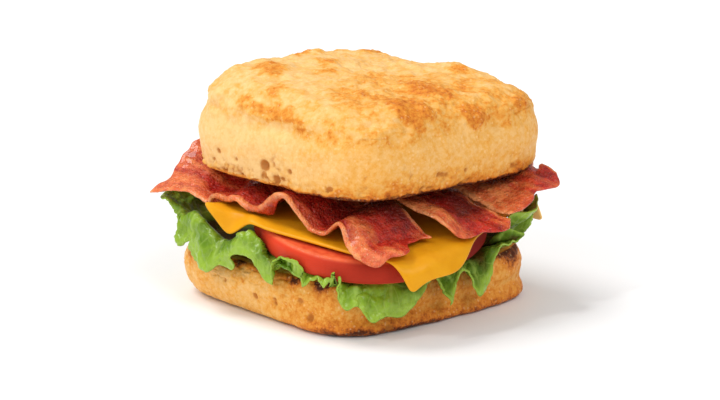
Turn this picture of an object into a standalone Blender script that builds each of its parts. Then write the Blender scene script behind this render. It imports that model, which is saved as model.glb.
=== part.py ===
"""A bacon, lettuce and tomato sandwich with cheese in a square bread roll.

Sizes are in millimetres and become metres where a mesh is made. The x axis runs to
the right of the front view, y runs away from it and z runs up. The roll stands with
one corner to the front. From the bottom up lie the bottom half of the roll, two
leaves, a tomato slice, a cheese slice, three strips of bacon and the top half.
"""

import bpy
import numpy as np

MM = 0.001

# The whole sandwich
SANDWICH_SHIFT = np.array((0.6, 2.64, 0.0))
FIT_GAP = 0.35

# The outline that both halves of the roll share
ROLL_TURN = np.radians(42.5)
ROLL_SQUARENESS = 4.6
ROLL_STRETCH = 0.03
ROLL_COLUMNS = 68
CRUST_ROUGHNESS = 0.7
CRUST_LUMP_SIZE = 13.0
CRUST_SEED = 11
CRUST_WAVES = 6
# Shares of the outline where the flat faces have their inner rings
FACE_SHARES = (0.72, 0.4)

# The bottom half of the roll
BOTTOM_HALF_SIDE = 51.5
BOTTOM_CENTRE = np.array((0.0, 0.0))
BOTTOM_HEIGHT = 20.4
LIPPED_SIDE = np.radians(-45.0)
# Height, then inset from the outline on the round side and on the lipped side
BOTTOM_PROFILE = (
    (0.0, 13.0, 3.4),
    (0.6, 8.6, 0.4),
    (2.2, 4.4, -1.0),
    (4.6, 1.4, -0.2),
    (7.5, -0.3, 1.3),
    (11.0, -0.8, 0.6),
    (14.5, -0.4, 0.4),
    (17.6, 0.8, 1.2),
    (19.6, 2.8, 2.6),
    (20.4, 5.0, 4.6),
)

# The top half of the roll
TOP_HALF_SIDE = 51.2
TOP_CENTRE = np.array((5.5, 0.5))
TOP_UNDERSIDE = 50.0
SHOULDER_HEIGHT = 74.5
SHOULDER_SLOPE = 0.03
CROWN_HEIGHT = 85.6
CROWN_SLOPE = np.array((-0.065, 0.045))
# Share of the way from the underside to the shoulder, then inset from the outline
TOP_PROFILE = (
    (0.00, 4.0),
    (0.03, 1.8),
    (0.12, 0.9),
    (0.28, 0.4),
    (0.50, 0.0),
    (0.75, 0.6),
    (1.00, 2.2),
)
# Share of the way from the shoulder to the crown, then share of the outline
CROWN_PROFILE = (
    (0.28, 0.945),
    (0.54, 0.90),
    (0.75, 0.84),
    (0.88, 0.74),
    (0.95, 0.58),
    (0.99, 0.38),
    (1.00, 0.18),
)
# Blisters and hollows of the crown: place, radius and height
CROWN_BLISTERS = (
    (-36, 18, 7, 1.4),
    (-30, 2, 7, 1.2),
    (-12, 14, 10, 1.8),
    (-26, -24, 9, 1.6),
    (-40, -22, 8, 1.5),
    (-22, -38, 8, 1.3),
    (27, -18, 10, 1.8),
    (16, -38, 9, 1.5),
    (32, -36, 9, 1.6),
    (48, -22, 9, 1.7),
    (44, 20, 10, 2.6),
    (6, -14, 9, 1.2),
    (24, 47, 12, -6.5),
    (-18, 38, 9, 1.3),
    (54, -4, 7, 1.3),
)

# The tomato slice, which leans towards the front corner
TOMATO_CENTRE = np.array((6.2, -23.0))
TOMATO_RADIUS = 42.2
TOMATO_UNDERSIDE = 27.3
TOMATO_THICKNESS = 8.5
TOMATO_SLOPE = np.array((-0.034, 0.13))
TOMATO_SAG = 0.0012
TOMATO_COLUMNS = 52
TOMATO_CORE_SHARE = 0.5
TOMATO_WAVES = ((2, 0.024, -0.58), (3, 0.043, -1.50))
# Height share of the cut edge, then how far the skin bulges there
TOMATO_EDGE = ((0.0, -1.6), (0.08, -0.4), (0.3, 0.3), (0.7, 0.3), (0.92, -0.4), (1.0, -1.6))

# The cheese slice, melted over the tomato
CHEESE_SIDES = np.array((102.2, 93.0))
CHEESE_THICKNESS = 2.0
CHEESE_FRONT = np.array((22.6, -77.3))
CHEESE_TURN = np.radians(57.5)
CHEESE_STEPS = (20, 19)
CHEESE_RIM_GAP = 1.6
CHEESE_FIT_GAP = 0.6
CHEESE_BEND = 5.0
CHEESE_DROOP = np.radians(46.0)
CHEESE_DRIP = np.radians(36.0)
CHEESE_DRIP_WIDTH = np.radians(26.0)
# How melting moved the two front edges: distance from the front corner, half width and how far out
CHEESE_RIGHT_EDGE = (22.0, 13.0, 6.0)
CHEESE_LEFT_EDGE = (13.0, 9.5, -2.4)
# What props the slice up past the rim: bearing, width of the prop and its reach
CHEESE_PROPS = ((14.0, 20.0, 17.0), (104.0, 24.0, 17.0), (181.0, 5.5, 22.0))

# The bacon strips, which lie side by side under the top half
BACON_THICKNESS = 1.8
BACON_CLEARANCE = 0.35
BACON_MARGIN = 1.1
BACON_START = np.array((-77.0, 2.0))
BACON_HEADING = np.radians(-40.0)
BACON_STEPS = (37, 6)
BACON_UNDER_ROLL = 1.5
# Distance along a strip, then the height of its near edge, its middle and its far edge
FRONT_WAVES = (
    (0.0, 39.0, 48.0, 57.0),
    (9.0, 41.0, 46.5, 53.0),
    (20.0, 42.5, 44.0, 48.0),
    (33.5, 39.0, 41.5, 43.5),
    (43.4, 44.0, 46.0, 47.0),
    (53.3, 41.0, 42.0, 43.5),
    (68.3, 49.0, 48.3, 47.5),
    (76.5, 41.0, 45.0, 46.5),
    (84.5, 35.5, 39.5, 43.0),
    (90.0, 39.5, 42.0, 46.0),
    (95.0, 42.5, 43.5, 47.0),
    (98.5, 35.5, 43.0, 46.5),
    (104.0, 32.4, 39.5, 43.5),
    (111.0, 28.6, 34.0, 38.0),
    (119.0, 22.5, 31.5, 32.5),
)
MIDDLE_WAVES = (
    (0.0, 43.0, 44.0, 46.0),
    (16.0, 47.5, 46.0, 44.0),
    (32.0, 43.5, 45.0, 47.0),
    (50.0, 47.0, 45.0, 43.5),
    (66.0, 42.0, 44.0, 47.5),
    (82.0, 46.0, 45.0, 43.0),
    (98.0, 46.5, 46.5, 46.0),
    (106.0, 43.0, 45.5, 44.5),
    (113.0, 42.5, 43.5, 41.0),
    (118.0, 41.5, 39.5, 41.0),
    (124.0, 36.0, 36.0, 39.5),
    (130.0, 35.0, 35.2, 38.8),
)
BACK_WAVES = (
    (0.0, 46.0, 45.0, 43.0),
    (18.0, 43.0, 46.0, 47.5),
    (36.0, 47.5, 45.0, 43.0),
    (54.0, 43.0, 45.5, 47.5),
    (72.0, 47.5, 45.0, 44.0),
    (88.0, 44.0, 45.0, 47.5),
    (102.0, 45.5, 46.5, 48.7),
    (110.0, 42.0, 46.0, 50.5),
    (117.0, 40.0, 45.5, 51.5),
    (123.0, 39.5, 45.0, 50.0),
    (129.0, 39.5, 45.0, 47.5),
)
# Share of the width, then the distance along the strip where it starts and ends
FRONT_ENDS = (
    (0.0, 0.0, 104.0),
    (0.1, 1.0, 110.0),
    (0.22, 4.0, 115.0),
    (0.42, 3.0, 118.5),
    (0.7, 1.0, 113.5),
    (1.0, 2.0, 117.0),
)
MIDDLE_ENDS = (
    (0.0, 7.0, 118.0),
    (0.2, 5.0, 124.0),
    (0.5, 9.0, 125.5),
    (0.8, 8.0, 132.0),
    (1.0, 11.0, 129.0),
)
BACK_ENDS = (
    (0.0, 14.0, 125.0),
    (0.2, 12.0, 130.5),
    (0.5, 15.0, 127.5),
    (0.8, 13.0, 130.8),
    (1.0, 17.0, 124.5),
)
# Name, where the near edge lies across the strips, where it swells and how far, the same for the far
# edge, then width, waves and ends
BACON_STRIPS = (
    ("bacon_front", -1.2, (111.0, 4.2), (0.0, 0.0), 26.8, FRONT_WAVES, FRONT_ENDS),
    ("bacon_middle", 27.9, (96.0, 0.4), (0.0, 0.0), 28.0, MIDDLE_WAVES, MIDDLE_ENDS),
    ("bacon_back", 58.2, (40.0, 0.0), (102.0, 13.0), 31.6, BACK_WAVES, BACK_ENDS),
)
BACON_SWELL_LENGTH = 9.0
# Steps of the points of cheese and tomato that the bacon is laid over
CHEESE_FINE_STEPS = (80, 84)
TOMATO_FINE_COLUMNS = 180

# The lettuce: two leaves that meet in front and behind
LEAF_THICKNESS = 0.8
LEAF_FOLLOW = 5
LEAF_TURN_IN = 9.0
LEAF_BEND_REACH = 0.75
LEAF_BEND_LIFT = 2.8
LEAF_BEND_RISE = 0.25
# A tall rim rises steeply before it leans out
LEAF_STEEP_FROM = 8.0
LEAF_STEEP_OVER = 6.0
LEAF_STEEP_RISE = 0.12
LEAF_STEEP_OUT = 1.5
LEAF_MARGIN = 2.6
LEAF_INNER_SHARE = 0.34
LEAF_SHARES = (0.0, 0.34, 0.63, 0.85, 1.0)
# Points along the rim: bearing, reach beyond the roll and height. The rim may turn back on itself
LEFT_RUFFLES = (
    (-95.5, 7.5, 27.5),
    (-97.0, 5.5, 22.0),
    (-99.0, 4.5, 20.2),
    (-103.0, 4.5, 22.8),
    (-107.0, 5.0, 19.3),
    (-107.5, 6.0, 24.5),
    (-110.0, 7.5, 28.0),
    (-115.0, 7.5, 28.0),
    (-118.5, 6.0, 24.0),
    (-120.0, 5.0, 17.3),
    (-126.5, 4.5, 19.2),
    (-130.5, 4.5, 24.5),
    (-134.5, 5.0, 25.5),
    (-139.5, 5.0, 24.5),
    (-141.5, 5.0, 18.7),
    (-148.5, 4.5, 19.0),
    (-153.5, 5.5, 15.3),
    (-160.5, 5.0, 17.0),
    (-166.0, 4.5, 18.5),
    (-169.0, 2.5, 23.0),
    (-172.0, 3.5, 20.5),
    (-174.5, 4.5, 22.5),
    (-175.5, 3.0, 28.0),
    (-177.0, 4.5, 33.0),
    (-180.0, 9.5, 36.0),
    (-186.0, 8.0, 38.0),
    (-194.0, 5.0, 39.0),
    (-203.0, 4.0, 38.0),
    (-211.0, 4.5, 33.0),
    (-217.0, 6.0, 24.0),
    (-224.0, 5.0, 20.0),
    (-231.0, 6.5, 30.0),
    (-237.0, 4.5, 37.0),
    (-243.0, 5.0, 35.0),
    (-249.0, 6.5, 24.0),
    (-255.0, 5.0, 19.0),
    (-260.0, 6.0, 28.0),
    (-265.0, 5.5, 36.0),
)
# Where the left leaf swells up between its flat part and its rim: bearing, half width and rise
LEFT_SWELLS = ((-166.0, 14.0, 11.5), (-139.0, 10.0, 8.5), (-128.0, 7.0, 4.0))
RIGHT_RUFFLES = (
    (-94.3, 7.5, 26.0),
    (-94.3, 7.0, 18.0),
    (-92.3, 6.5, 12.8),
    (-88.5, 8.0, 14.5),
    (-84.0, 9.0, 8.3),
    (-79.0, 8.5, 9.5),
    (-73.0, 8.0, 8.3),
    (-68.0, 7.5, 13.0),
    (-62.5, 5.5, 17.5),
    (-58.0, 6.0, 19.5),
    (-54.5, 6.5, 14.0),
    (-51.5, 6.0, 7.8),
    (-49.0, 5.5, 12.0),
    (-46.0, 5.5, 19.0),
    (-43.0, 6.0, 18.5),
    (-40.0, 6.5, 9.8),
    (-36.5, 6.0, 9.5),
    (-31.5, 5.0, 12.5),
    (-28.5, 4.5, 20.0),
    (-27.0, 5.0, 26.5),
    (-22.0, 4.5, 25.5),
    (-16.0, 4.0, 25.0),
    (-14.0, 4.0, 27.5),
    (-17.5, 3.5, 29.5),
    (-24.0, 4.5, 33.3),
    (-23.0, 7.5, 37.5),
    (-17.5, 8.5, 38.5),
    (-12.5, 8.5, 39.5),
    (-9.0, 7.3, 41.0),
    (-7.5, 6.0, 36.0),
    (-6.0, 3.0, 29.0),
    (-3.0, -2.0, 24.5),
    (1.0, -3.5, 22.5),
    (6.0, 1.0, 21.5),
    (10.0, 5.0, 24.0),
    (15.0, 4.5, 18.0),
    (21.0, 5.0, 17.0),
    (27.0, 6.5, 26.0),
    (34.0, 4.5, 34.0),
    (42.0, 6.5, 37.0),
    (49.0, 4.5, 30.0),
    (56.0, 6.0, 20.0),
    (63.0, 5.0, 18.0),
    (70.0, 6.0, 27.0),
    (77.0, 5.0, 36.0),
    (84.0, 6.0, 38.0),
    (90.0, 5.0, 33.0),
)


def clear_scene():
    """An empty file to model in."""
    for piece in list(bpy.data.objects):
        bpy.data.objects.remove(piece, do_unlink=True)


def food_material(name, colour, roughness):
    """A plain Principled material in the food's own colour."""
    material = bpy.data.materials.new(name)
    material.use_nodes = True
    shader = material.node_tree.nodes["Principled BSDF"]
    shader.inputs["Base Color"].default_value = (*colour, 1.0)
    shader.inputs["Roughness"].default_value = roughness
    shader.inputs["Metallic"].default_value = 0.0
    material.diffuse_color = (*colour, 1.0)
    return material


def add_object(name, points, faces, material):
    """A smooth shaded object from points in millimetres."""
    mesh = bpy.data.meshes.new(name)
    placed = (np.reshape(points, (-1, 3)) + SANDWICH_SHIFT) * MM
    mesh.from_pydata(placed.tolist(), [], faces)
    mesh.materials.append(material)
    mesh.shade_smooth()
    piece = bpy.data.objects.new(name, mesh)
    bpy.context.scene.collection.objects.link(piece)
    return piece


def ringed_solid(name, rings, material):
    """A closed solid through level rings, bottom first, with a point in the middle of each end."""
    count, columns = rings.shape[:2]
    points = np.vstack((rings.reshape(-1, 3), rings[0].mean(axis=0), rings[-1].mean(axis=0)))
    bottom, top = count * columns, count * columns + 1
    faces = []
    for column in range(columns):
        after = (column + 1) % columns
        faces.append((bottom, after, column))
        last = (count - 1) * columns
        faces.append((top, last + column, last + after))
        for ring in range(count - 1):
            low, high = ring * columns, (ring + 1) * columns
            faces.append((low + column, low + after, high + after, high + column))
    return add_object(name, points, faces, material)


def sheet_solid(name, grid, thickness, material):
    """A thin solid on both sides of a grid of points, split into triangles alike on both faces."""
    rows, columns = grid.shape[:2]
    faces = []
    for row in range(rows - 1):
        for column in range(columns - 1):
            a = row * columns + column
            b, c, d = a + 1, a + columns + 1, a + columns
            faces.extend(((a, b, c), (a, c, d)))
    piece = add_object(name, grid, faces, material)
    thicken = piece.modifiers.new("Thickness", "SOLIDIFY")
    thicken.thickness = thickness * MM
    thicken.offset = 0.0
    return piece


def through(where, values, at):
    """A smooth curve through values that are given at rising positions."""
    where, values = np.asarray(where, float), np.asarray(values, float)
    slopes = np.gradient(values, where, axis=0)
    index = np.clip(np.searchsorted(where, at) - 1, 0, len(where) - 2)
    span = where[index + 1] - where[index]
    s = np.clip((at - where[index]) / span, 0.0, 1.0)[..., None]
    span = span[..., None]
    start = (1 + 2 * s) * (1 - s) ** 2 * values[index] + s * (1 - s) ** 2 * span * slopes[index]
    finish = s**2 * (3 - 2 * s) * values[index + 1] - s**2 * (1 - s) * span * slopes[index + 1]
    return start + finish


def roll_radius(bearing, half_side):
    """Distance from the roll's centre to its outline: a rounded square, turned and stretched."""
    across = np.abs(np.cos(bearing - ROLL_TURN)) ** ROLL_SQUARENESS
    along = np.abs(np.sin(bearing - ROLL_TURN)) ** ROLL_SQUARENESS
    stretch = 1 + ROLL_STRETCH * np.cos(2 * bearing)
    return half_side * stretch * (across + along) ** (-1 / ROLL_SQUARENESS)


def crags(points, size):
    """Low relief from minus one to one: waves of about one size, crossing in seeded directions."""
    chance = np.random.RandomState(CRUST_SEED)
    total = np.zeros(points.shape[:-1])
    for _ in range(CRUST_WAVES):
        direction = chance.normal(size=3)
        direction *= 2 * np.pi / (size * np.linalg.norm(direction))
        total += np.cos(points @ direction + chance.uniform(0, 2 * np.pi))
    return total / CRUST_WAVES


def roll_rings(centre, radii, heights, bearing):
    """Points of level rings from their radii and heights, with the crust's relief on the sides."""
    rings = np.empty((*radii.shape, 3))
    rings[..., 2] = heights
    rings[..., 0] = centre[0] + radii * np.cos(bearing)
    rings[..., 1] = centre[1] + radii * np.sin(bearing)
    relief = 1 + CRUST_ROUGHNESS * crags(rings, CRUST_LUMP_SIZE) / np.maximum(radii, 1.0)
    rings[..., 0] = centre[0] + radii * relief * np.cos(bearing)
    rings[..., 1] = centre[1] + radii * relief * np.sin(bearing)
    return rings


def make_bottom_half(material):
    """The roll's bottom half: flat below, bulging on the left, with a lip round its right foot."""
    bearing = np.linspace(0, 2 * np.pi, ROLL_COLUMNS, endpoint=False)
    outline = roll_radius(bearing, BOTTOM_HALF_SIDE)
    lipped = 0.5 + 0.5 * np.cos(bearing - LIPPED_SIDE)
    radii = [outline - (1 - lipped) * round_in - lipped * lip_in for _, round_in, lip_in in BOTTOM_PROFILE]
    heights = [height for height, _, _ in BOTTOM_PROFILE]
    radii = [radii[0] * share for share in reversed(FACE_SHARES)] + radii
    heights = [0.0] * len(FACE_SHARES) + heights
    radii += [radii[-1] * share for share in FACE_SHARES]
    heights += [BOTTOM_HEIGHT] * len(FACE_SHARES)
    rings = roll_rings(BOTTOM_CENTRE, np.array(radii), np.array(heights)[:, None], bearing)
    return ringed_solid("bun_bottom", rings, material)


def crown(x, y):
    """Height of the crown over a point: a gentle slope with blisters and hollows."""
    height = CROWN_HEIGHT + CROWN_SLOPE[0] * x + CROWN_SLOPE[1] * y
    for at_x, at_y, radius, rise in CROWN_BLISTERS:
        height = height + rise * np.exp(-((x - at_x) ** 2 + (y - at_y) ** 2) / radius**2)
    return height


def make_top_half(material):
    """The roll's top half: upright sides, a round shoulder and a lumpy crown."""
    bearing = np.linspace(0, 2 * np.pi, ROLL_COLUMNS, endpoint=False)
    outline = roll_radius(bearing, TOP_HALF_SIDE)
    shoulder = SHOULDER_HEIGHT + SHOULDER_SLOPE * outline * np.sin(bearing)
    radii = [(outline - TOP_PROFILE[0][1]) * share for share in reversed(FACE_SHARES)]
    heights = [np.full(ROLL_COLUMNS, TOP_UNDERSIDE)] * len(FACE_SHARES)
    for share, inset in TOP_PROFILE:
        radii.append(outline - inset)
        heights.append(TOP_UNDERSIDE + share * (shoulder - TOP_UNDERSIDE))
    for share, spread in CROWN_PROFILE:
        radius = outline * spread
        x = TOP_CENTRE[0] + radius * np.cos(bearing)
        y = TOP_CENTRE[1] + radius * np.sin(bearing)
        radii.append(radius)
        heights.append(shoulder + share * (crown(x, y) - shoulder))
    rings = roll_rings(TOP_CENTRE, np.array(radii), np.array(heights), bearing)
    return ringed_solid("bun_top", rings, material)


def tomato_radius(bearing):
    """Radius of the slice: a circle with shallow waves."""
    waves = sum(amount * np.cos(count * bearing + phase) for count, amount, phase in TOMATO_WAVES)
    return TOMATO_RADIUS * (1 + waves)


def tomato_lean(x, y):
    """How much higher the slice lies at a point than at its centre: it leans, and sags at the back."""
    across, back = x - TOMATO_CENTRE[0], y - TOMATO_CENTRE[1]
    return TOMATO_SLOPE[0] * across + TOMATO_SLOPE[1] * back - TOMATO_SAG * np.maximum(back, 0) ** 2


def make_tomato(material):
    """The tomato slice: two flat cut faces and a bulging skin."""
    bearing = np.linspace(0, 2 * np.pi, TOMATO_COLUMNS, endpoint=False)
    outline = tomato_radius(bearing)
    core = TOMATO_CORE_SHARE * outline
    radii = [core] + [outline + bulge for _, bulge in TOMATO_EDGE] + [core]
    shares = [0.0] + [share for share, _ in TOMATO_EDGE] + [1.0]
    rings = np.empty((len(radii), TOMATO_COLUMNS, 3))
    rings[..., 0] = TOMATO_CENTRE[0] + np.array(radii) * np.cos(bearing)
    rings[..., 1] = TOMATO_CENTRE[1] + np.array(radii) * np.sin(bearing)
    lift = np.array(shares)[:, None] * TOMATO_THICKNESS
    rings[..., 2] = TOMATO_UNDERSIDE + lift + tomato_lean(rings[..., 0], rings[..., 1])
    return ringed_solid("tomato_slice", rings, material)


def cheese_top(x, y):
    """Height of the cheese where it lies on the tomato."""
    return TOMATO_UNDERSIDE + TOMATO_THICKNESS + CHEESE_FIT_GAP + CHEESE_THICKNESS + tomato_lean(x, y)


def angle_between(bearing, other):
    """Difference of two bearings, from minus half a turn to half a turn."""
    return np.angle(np.exp(1j * (bearing - other)))


def draped(x, y):
    """Where a point of the flat slice comes to lie: past the tomato's rim it bends down."""
    across, back = x - TOMATO_CENTRE[0], y - TOMATO_CENTRE[1]
    bearing = np.arctan2(back, across)
    reach = np.hypot(across, back)
    front = CHEESE_FRONT - TOMATO_CENTRE
    from_front = angle_between(bearing, np.arctan2(front[1], front[0]))
    drip = np.exp(-((from_front / CHEESE_DRIP_WIDTH) ** 2))
    rim = tomato_radius(bearing) + CHEESE_RIM_GAP
    for prop_bearing, width, prop_reach in CHEESE_PROPS:
        from_prop = angle_between(bearing, np.radians(prop_bearing))
        rim = rim + prop_reach * np.exp(-((from_prop / np.radians(width)) ** 2))
    past = np.maximum(reach - rim, 0.0)
    bend = np.minimum(past / CHEESE_BEND, CHEESE_DROOP + CHEESE_DRIP * drip)
    straight = past - CHEESE_BEND * bend
    out = CHEESE_BEND * np.sin(bend) + straight * np.cos(bend)
    down = CHEESE_BEND * (1 - np.cos(bend)) + straight * np.sin(bend)
    kept = np.minimum(reach, rim) + out
    x = TOMATO_CENTRE[0] + kept * np.cos(bearing)
    y = TOMATO_CENTRE[1] + kept * np.sin(bearing)
    return np.stack((x, y, cheese_top(x, y) - CHEESE_THICKNESS / 2 - down), axis=-1)


def slice_point(right, left):
    """A point of the flat slice by its distances from the front corner, where melting moved both front edges."""
    moved = []
    for value, other, side, (at, width, out) in (
        (right, left, CHEESE_SIDES[0], CHEESE_LEFT_EDGE),
        (left, right, CHEESE_SIDES[1], CHEESE_RIGHT_EDGE),
    ):
        moved.append(value - out * np.exp(-(((other - at) / width) ** 2)) * (1 - value / side) ** 3)
    right, left = moved
    x = CHEESE_FRONT[0] + right * np.cos(CHEESE_TURN) - left * np.sin(CHEESE_TURN)
    y = CHEESE_FRONT[1] + right * np.sin(CHEESE_TURN) + left * np.cos(CHEESE_TURN)
    return x, y


def cheese_grid(steps):
    """The draped slice's middle layer as a grid of points."""
    right, left = np.meshgrid(*(np.linspace(0, side, count) for side, count in zip(CHEESE_SIDES, steps)))
    x, y = slice_point(right, left)
    return draped(x, y)


def make_cheese(material):
    """The cheese slice: a rectangle laid over the tomato, its corners drooping past the rim."""
    return sheet_solid("cheese_slice", cheese_grid(CHEESE_STEPS), CHEESE_THICKNESS, material)


def resting_height(x, y, points, distance):
    """Lowest height over a place that keeps a distance to every one of the points."""
    aside = np.hypot(x[..., None] - points[:, 0], y[..., None] - points[:, 1])
    lift = np.sqrt(np.maximum(distance**2 - aside**2, 0.0))
    return np.where(aside < distance, points[:, 2] + lift, 0.0).max(axis=-1)


def under_bacon():
    """Points of the cheese's middle layer and of the tomato's upper edge, with the distance to keep."""
    to_middle = BACON_THICKNESS / 2 + BACON_CLEARANCE + BACON_MARGIN
    cheese = cheese_grid(CHEESE_FINE_STEPS).reshape(-1, 3)
    bearing = np.linspace(0, 2 * np.pi, TOMATO_FINE_COLUMNS)
    upper_edge = np.array(TOMATO_EDGE[2:])
    share, bulge = upper_edge[:, :1], upper_edge[:, 1:]
    radius = tomato_radius(bearing) + bulge
    x = TOMATO_CENTRE[0] + radius * np.cos(bearing)
    y = TOMATO_CENTRE[1] + radius * np.sin(bearing)
    z = TOMATO_UNDERSIDE + share * TOMATO_THICKNESS + tomato_lean(x, y)
    tomato = np.stack((x, y, z), axis=-1).reshape(-1, 3)
    return ((cheese, to_middle + CHEESE_THICKNESS / 2), (tomato, to_middle))


def outside_roll(x, y, centre, half_side):
    """How far a point lies outside the roll's outline, below zero inside it."""
    across, back = x - centre[0], y - centre[1]
    return np.hypot(across, back) - roll_radius(np.arctan2(back, across), half_side)


def make_bacon(name, near_line, near_swell, far_swell, width, waves, ends, material):
    """One strip of bacon: a wavy ribbon held between the cheese and the top half."""
    steps_along, steps_across = BACON_STEPS
    share_across = np.linspace(0, 1, steps_across)
    ends = np.array(ends)
    starts, stops = through(ends[:, 0], ends[:, 1:], share_across).T
    share_along = np.linspace(0, 1, steps_along)[:, None]
    along = starts + share_along * (stops - starts)
    across = near_line + width * share_across + np.zeros_like(along)
    for (swell_at, swell), share in ((near_swell, share_across - 1), (far_swell, share_across)):
        across += swell * share * np.exp(-(((along - swell_at) / BACON_SWELL_LENGTH) ** 2))
    x = BACON_START[0] + along * np.cos(BACON_HEADING) - across * np.sin(BACON_HEADING)
    y = BACON_START[1] + along * np.sin(BACON_HEADING) + across * np.cos(BACON_HEADING)
    waves = np.array(waves)
    near, middle, far = np.moveaxis(through(waves[:, 0], waves[:, 1:], along), -1, 0)
    u = share_across
    height = near * (1 - u) * (1 - 2 * u) + middle * 4 * u * (1 - u) + far * u * (2 * u - 1)
    for points, distance in under_bacon():
        height = np.maximum(height, resting_height(x, y, points, distance))
    ceiling = TOP_UNDERSIDE - BACON_CLEARANCE - BACON_THICKNESS / 2
    under_roll = outside_roll(x, y, TOP_CENTRE, TOP_HALF_SIDE) < BACON_UNDER_ROLL
    height = np.where(under_roll, np.minimum(height, ceiling), height)
    return sheet_solid(name, np.stack((x, y, height), axis=-1), BACON_THICKNESS, material)


def make_leaf(name, ruffles, swells, material):
    """One leaf: flat between roll and tomato, then over the edge to a ruffled rim."""
    count = len(ruffles)
    columns = np.linspace(0, count - 1, 2 * count - 1)
    rim_bearing, reach, rim_height = np.radians(through(range(count), ruffles, columns).T)
    reach, rim_height = np.degrees(reach), np.degrees(rim_height)
    padded = np.pad(rim_bearing, LEAF_FOLLOW, mode="reflect", reflect_type="odd")
    window = np.ones(2 * LEAF_FOLLOW + 1) / (2 * LEAF_FOLLOW + 1)
    root_bearing = np.convolve(padded, window, mode="valid")
    s = np.array(LEAF_SHARES)[:, None]
    bearing = root_bearing + (rim_bearing - root_bearing) * s
    outline = roll_radius(bearing, BOTTOM_HALF_SIDE)
    base = BOTTOM_HEIGHT + FIT_GAP + LEAF_THICKNESS / 2
    raised = np.maximum(rim_height - base, 0.0)
    steep = np.clip((raised - LEAF_STEEP_FROM) / LEAF_STEEP_OVER, 0.0, 1.0)
    bend_height = base + LEAF_BEND_LIFT + (LEAF_BEND_RISE + LEAF_STEEP_RISE * steep) * raised
    bend_out = (1 - steep) * LEAF_BEND_REACH * reach + steep * LEAF_STEEP_OUT
    radius = (1 - s) ** 2 * (outline - LEAF_TURN_IN) + 2 * s * (1 - s) * (outline + bend_out)
    radius = radius + s**2 * (outline + reach)
    height = (1 - s) ** 2 * base + 2 * s * (1 - s) * bend_height + s**2 * rim_height
    for at, width, rise in swells:
        swell = np.exp(-(((np.degrees(bearing) - at) / width) ** 2)) * np.sin(np.pi * s) ** 1.5
        height = height + rise * swell
        radius = radius + 0.1 * rise * swell
    bearing = np.vstack((root_bearing, bearing))
    radius = np.vstack((outline[0] * LEAF_INNER_SHARE, radius))
    height = np.vstack((np.full_like(reach, base), height))
    x = radius * np.cos(bearing)
    y = radius * np.sin(bearing)
    clearance = FIT_GAP + LEAF_THICKNESS / 2
    from_tomato = np.hypot(x - TOMATO_CENTRE[0], y - TOMATO_CENTRE[1])
    tomato_edge = tomato_radius(np.arctan2(y - TOMATO_CENTRE[1], x - TOMATO_CENTRE[0])) + LEAF_MARGIN
    roof = TOMATO_UNDERSIDE + tomato_lean(x, y) - clearance
    height = np.where(from_tomato < tomato_edge, np.minimum(height, roof), height)
    return sheet_solid(name, np.stack((x, y, height), axis=-1), LEAF_THICKNESS, material)


clear_scene()
CRUST = food_material("baked_crust", (0.78, 0.47, 0.17), 0.7)
LETTUCE = food_material("green_leaf", (0.19, 0.33, 0.05), 0.45)
TOMATO = food_material("red_tomato", (0.55, 0.05, 0.02), 0.3)
CHEESE = food_material("melted_cheese", (0.90, 0.42, 0.03), 0.35)
BACON = food_material("fried_bacon", (0.36, 0.07, 0.03), 0.45)

make_bottom_half(CRUST)
make_leaf("lettuce_left", LEFT_RUFFLES, LEFT_SWELLS, LETTUCE)
make_leaf("lettuce_right", RIGHT_RUFFLES, (), LETTUCE)
make_tomato(TOMATO)
make_cheese(CHEESE)
for strip in BACON_STRIPS:
    make_bacon(*strip, BACON)
make_top_half(CRUST)
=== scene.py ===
# %% [markdown]
# # A bacon, lettuce and tomato sandwich
#
# A square bread roll is cut in two. Between its halves lie two leaves of lettuce, a
# slice of tomato, a slice of melted cheese and three strips of bacon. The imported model
# gives every layer's place and size. This script dresses it: each layer becomes a fine
# surface worked out with numpy, and gets a material of its own.
#
# The model is loaded first, because everything else is fitted to it.

import bpy
import numpy as np
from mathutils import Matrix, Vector


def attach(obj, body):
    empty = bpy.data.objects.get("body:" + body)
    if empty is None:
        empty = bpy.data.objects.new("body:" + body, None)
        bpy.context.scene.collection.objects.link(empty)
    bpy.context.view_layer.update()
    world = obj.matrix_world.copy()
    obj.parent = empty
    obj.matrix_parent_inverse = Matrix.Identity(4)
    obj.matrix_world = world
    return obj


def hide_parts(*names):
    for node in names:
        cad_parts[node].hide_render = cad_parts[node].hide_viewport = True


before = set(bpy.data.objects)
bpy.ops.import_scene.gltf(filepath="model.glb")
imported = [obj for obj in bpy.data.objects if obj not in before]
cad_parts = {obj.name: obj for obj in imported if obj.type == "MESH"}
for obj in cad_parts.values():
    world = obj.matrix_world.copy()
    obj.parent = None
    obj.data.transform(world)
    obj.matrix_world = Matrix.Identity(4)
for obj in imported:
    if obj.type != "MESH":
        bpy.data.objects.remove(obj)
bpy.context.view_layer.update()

MM = 0.001
# Everything below is in millimetres. This shift puts the middle of the box at the origin
SANDWICH_SHIFT = np.array((0.6, 2.64, 0.0))
print("nodes in the frame:", sorted(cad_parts))

# %% [markdown]
# ## Curves and noise
#
# Food has two kinds of shape. The large one is planned: a profile, a rim, a fold. It
# comes from a few named sizes, joined by a smooth curve. The small one is chance:
# crags, wrinkles, crumbs. It comes from noise, which is random values on a cubic
# lattice with smooth steps in between. Several sizes of noise added up look natural.

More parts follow.
